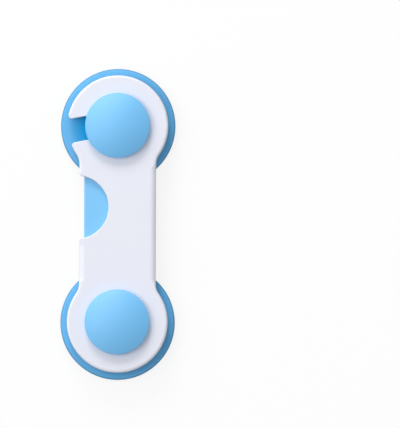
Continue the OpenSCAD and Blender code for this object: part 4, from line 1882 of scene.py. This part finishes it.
@dataclass
class Studio:
    """White floor, soft light and a camera that looks straight down on the lock.

    Attributes:
        photo_pixels: Width and height of the photograph.
        pixel: Real size of one pixel on the lock.
        lock_pixel: Pixel of the lock's middle.
        view_lean: Rightward and upward lean of the line from the lock to the camera.
        view_roll: Anticlockwise roll of the camera.
        view_level: Height over the floor at which the lock's middle falls on its pixel.
        camera_height: Distance of the camera from there.
        clip_start: Distance from the camera at which the view starts.
        lights: The soft lights.
        fill_strength: Light that the room sends from all sides above the backdrop.
        backdrop_rise: Heights of unit directions between which the backdrop fades into the fill.
        floor_size: Side of the floor.
        floor_drop: Gap between the floor and the adhesive pads.
        floor_glow: Part of the floor's white that no shadow darkens.
        floor_white: Reflectance of the floor to the eye.
        floor_bounce: Reflectance with which the floor lights the lock from below.
        floor_roughness: Roughness of the floor.
    """

    photo_pixels: tuple[float, float] = (400.0, 428.0)
    pixel: float = 0.4374 * MM
    lock_pixel: tuple[float, float] = (117.6, 224.3)
    view_lean: tuple[float, float] = (0.0255, -0.03)
    view_roll: float = math.radians(0.18)
    view_level: float = 8.0 * MM
    camera_height: float = 0.6
    clip_start: float = 5.0 * MM
    lights: tuple[SoftLight, ...] = (
        SoftLight("side", (-0.565, 0.1, 0.819), 2.0, 1.2, 0.265),
        SoftLight("key", (-0.164, 0.841, 0.515), 2.0, 0.75, 0.225),
        SoftLight("corner", (-0.641, 0.641, 0.423), 2.0, 0.9, 0.06),
    )
    fill_strength: float = 0.46
    backdrop_rise: tuple[float, float] = (0.1, 0.25)
    floor_size: float = 4.0
    floor_drop: float = 0.02 * MM
    floor_glow: float = 0.85
    floor_white: float = 0.97
    floor_bounce: float = 0.6
    floor_roughness: float = 0.9

    def build(self) -> None:
        """Builds the floor, the lights, the world and the camera."""
        self.build_floor()
        for light in self.lights:
            light.build()
        self.build_world()
        self.build_camera()

    @staticmethod
    def seen_plainly(nodes: NodeTree) -> bpy.types.NodeSocket:
        """Adds a mask that is 1 for rays from the camera, from gloss and through glass.

        Args:
            nodes: Nodes to add to.

        Returns:
            The socket of the mask.
        """
        path = nodes.add("ShaderNodeLightPath")
        seen = nodes.math("MAXIMUM", path.outputs["Is Camera Ray"], path.outputs["Is Glossy Ray"])
        return nodes.math("MAXIMUM", seen, path.outputs["Is Transmission Ray"])

    def build_floor(self) -> None:
        """Lays a white floor just under the adhesive pads, which shows a light shadow."""
        half = self.floor_size / 2.0
        corners = np.array([[-half, -half], [half, -half], [half, half], [-half, half]])
        points = np.column_stack([corners, np.full(4, -self.floor_drop)])
        mesh = bpy.data.meshes.new("floor")
        mesh.from_pydata(points.tolist(), [], [[0, 1, 2, 3]])
        floor = bpy.data.objects.new("floor", mesh)
        bpy.context.scene.collection.objects.link(floor)
        material, nodes, shader = bare_material("white_floor")
        seen = self.seen_plainly(nodes)
        extra = nodes.math("MULTIPLY", seen, self.floor_white - self.floor_bounce)
        nodes.join(nodes.math("ADD", extra, self.floor_bounce), shader.inputs["Base Color"])
        shader.inputs["Roughness"].default_value = self.floor_roughness
        shader.inputs["Specular IOR Level"].default_value = 0.0
        glow = nodes.add("ShaderNodeEmission", Strength=1.0)
        mix = nodes.add("ShaderNodeMixShader")
        output = nodes.tree.nodes["Material Output"]
        nodes.join(nodes.math("MULTIPLY", seen, self.floor_glow), mix.inputs["Fac"])
        nodes.join(shader.outputs["BSDF"], mix.inputs[1])
        nodes.join(glow.outputs["Emission"], mix.inputs[2])
        nodes.join(mix.outputs["Shader"], output.inputs["Surface"])
        mesh.materials.append(material)

    def build_world(self) -> None:
        """Fills the room evenly from above, with a white backdrop up to just over the horizon.

        The strength falls smoothly from 1, which is white, to the fill as a direction rises.
        """
        world = bpy.data.worlds.new("studio")
        world.use_nodes = True
        world.node_tree.nodes.clear()
        nodes = NodeTree(world.node_tree)
        heading = nodes.add("ShaderNodeTexCoord").outputs["Generated"]
        parts = nodes.add("ShaderNodeSeparateXYZ")
        nodes.join(heading, parts.inputs["Vector"])
        fade = nodes.add("ShaderNodeMapRange", interpolation_type="SMOOTHSTEP")
        fade.inputs["From Min"].default_value = self.backdrop_rise[0]
        fade.inputs["From Max"].default_value = self.backdrop_rise[1]
        fade.inputs["To Min"].default_value = 1.0
        fade.inputs["To Max"].default_value = self.fill_strength
        nodes.join(parts.outputs["Z"], fade.inputs["Value"])
        light = nodes.add("ShaderNodeBackground", Color=(1.0, 1.0, 1.0, 1.0))
        output = nodes.add("ShaderNodeOutputWorld")
        nodes.join(fade.outputs["Result"], light.inputs["Strength"])
        nodes.join(light.outputs["Background"], output.inputs["Surface"])
        bpy.context.scene.world = world

    def build_camera(self) -> None:
        """Sets a parallel camera above the lock, leaning and framed as the photograph is."""
        camera_data = bpy.data.cameras.new("camera")
        camera_data.type = "ORTHO"
        camera_data.ortho_scale = max(self.photo_pixels) * self.pixel
        camera_data.clip_start = self.clip_start
        camera = bpy.data.objects.new("camera", camera_data)
        right = (self.photo_pixels[0] / 2.0 - self.lock_pixel[0]) * self.pixel
        up = (self.lock_pixel[1] - self.photo_pixels[1] / 2.0) * self.pixel
        aim = Vector((*self.view_lean, 1.0)).normalized()
        camera.location = Vector((right, up, self.view_level)) + self.camera_height * aim
        upright = Vector((0.0, 0.0, 1.0))
        roll = Quaternion(upright, self.view_roll)
        camera.rotation_euler = (upright.rotation_difference(aim) @ roll).to_euler()
        bpy.context.scene.collection.objects.link(camera)
        bpy.context.scene.camera = camera


def main() -> None:
    """Builds the studio and the lock's sub-assemblies in order."""
    logging.basicConfig(level=logging.INFO, format="%(name)s: %(message)s")
    bpy.context.scene.view_settings.view_transform = "Standard"
    Studio().build()
    finishes = FinishSet()
    finishes.build()
    for end in End:
        BaseAssembly(end, finishes).build()
    Arm(finishes).build()
    Latch(finishes).build()


if __name__ == "__main__":
    main()
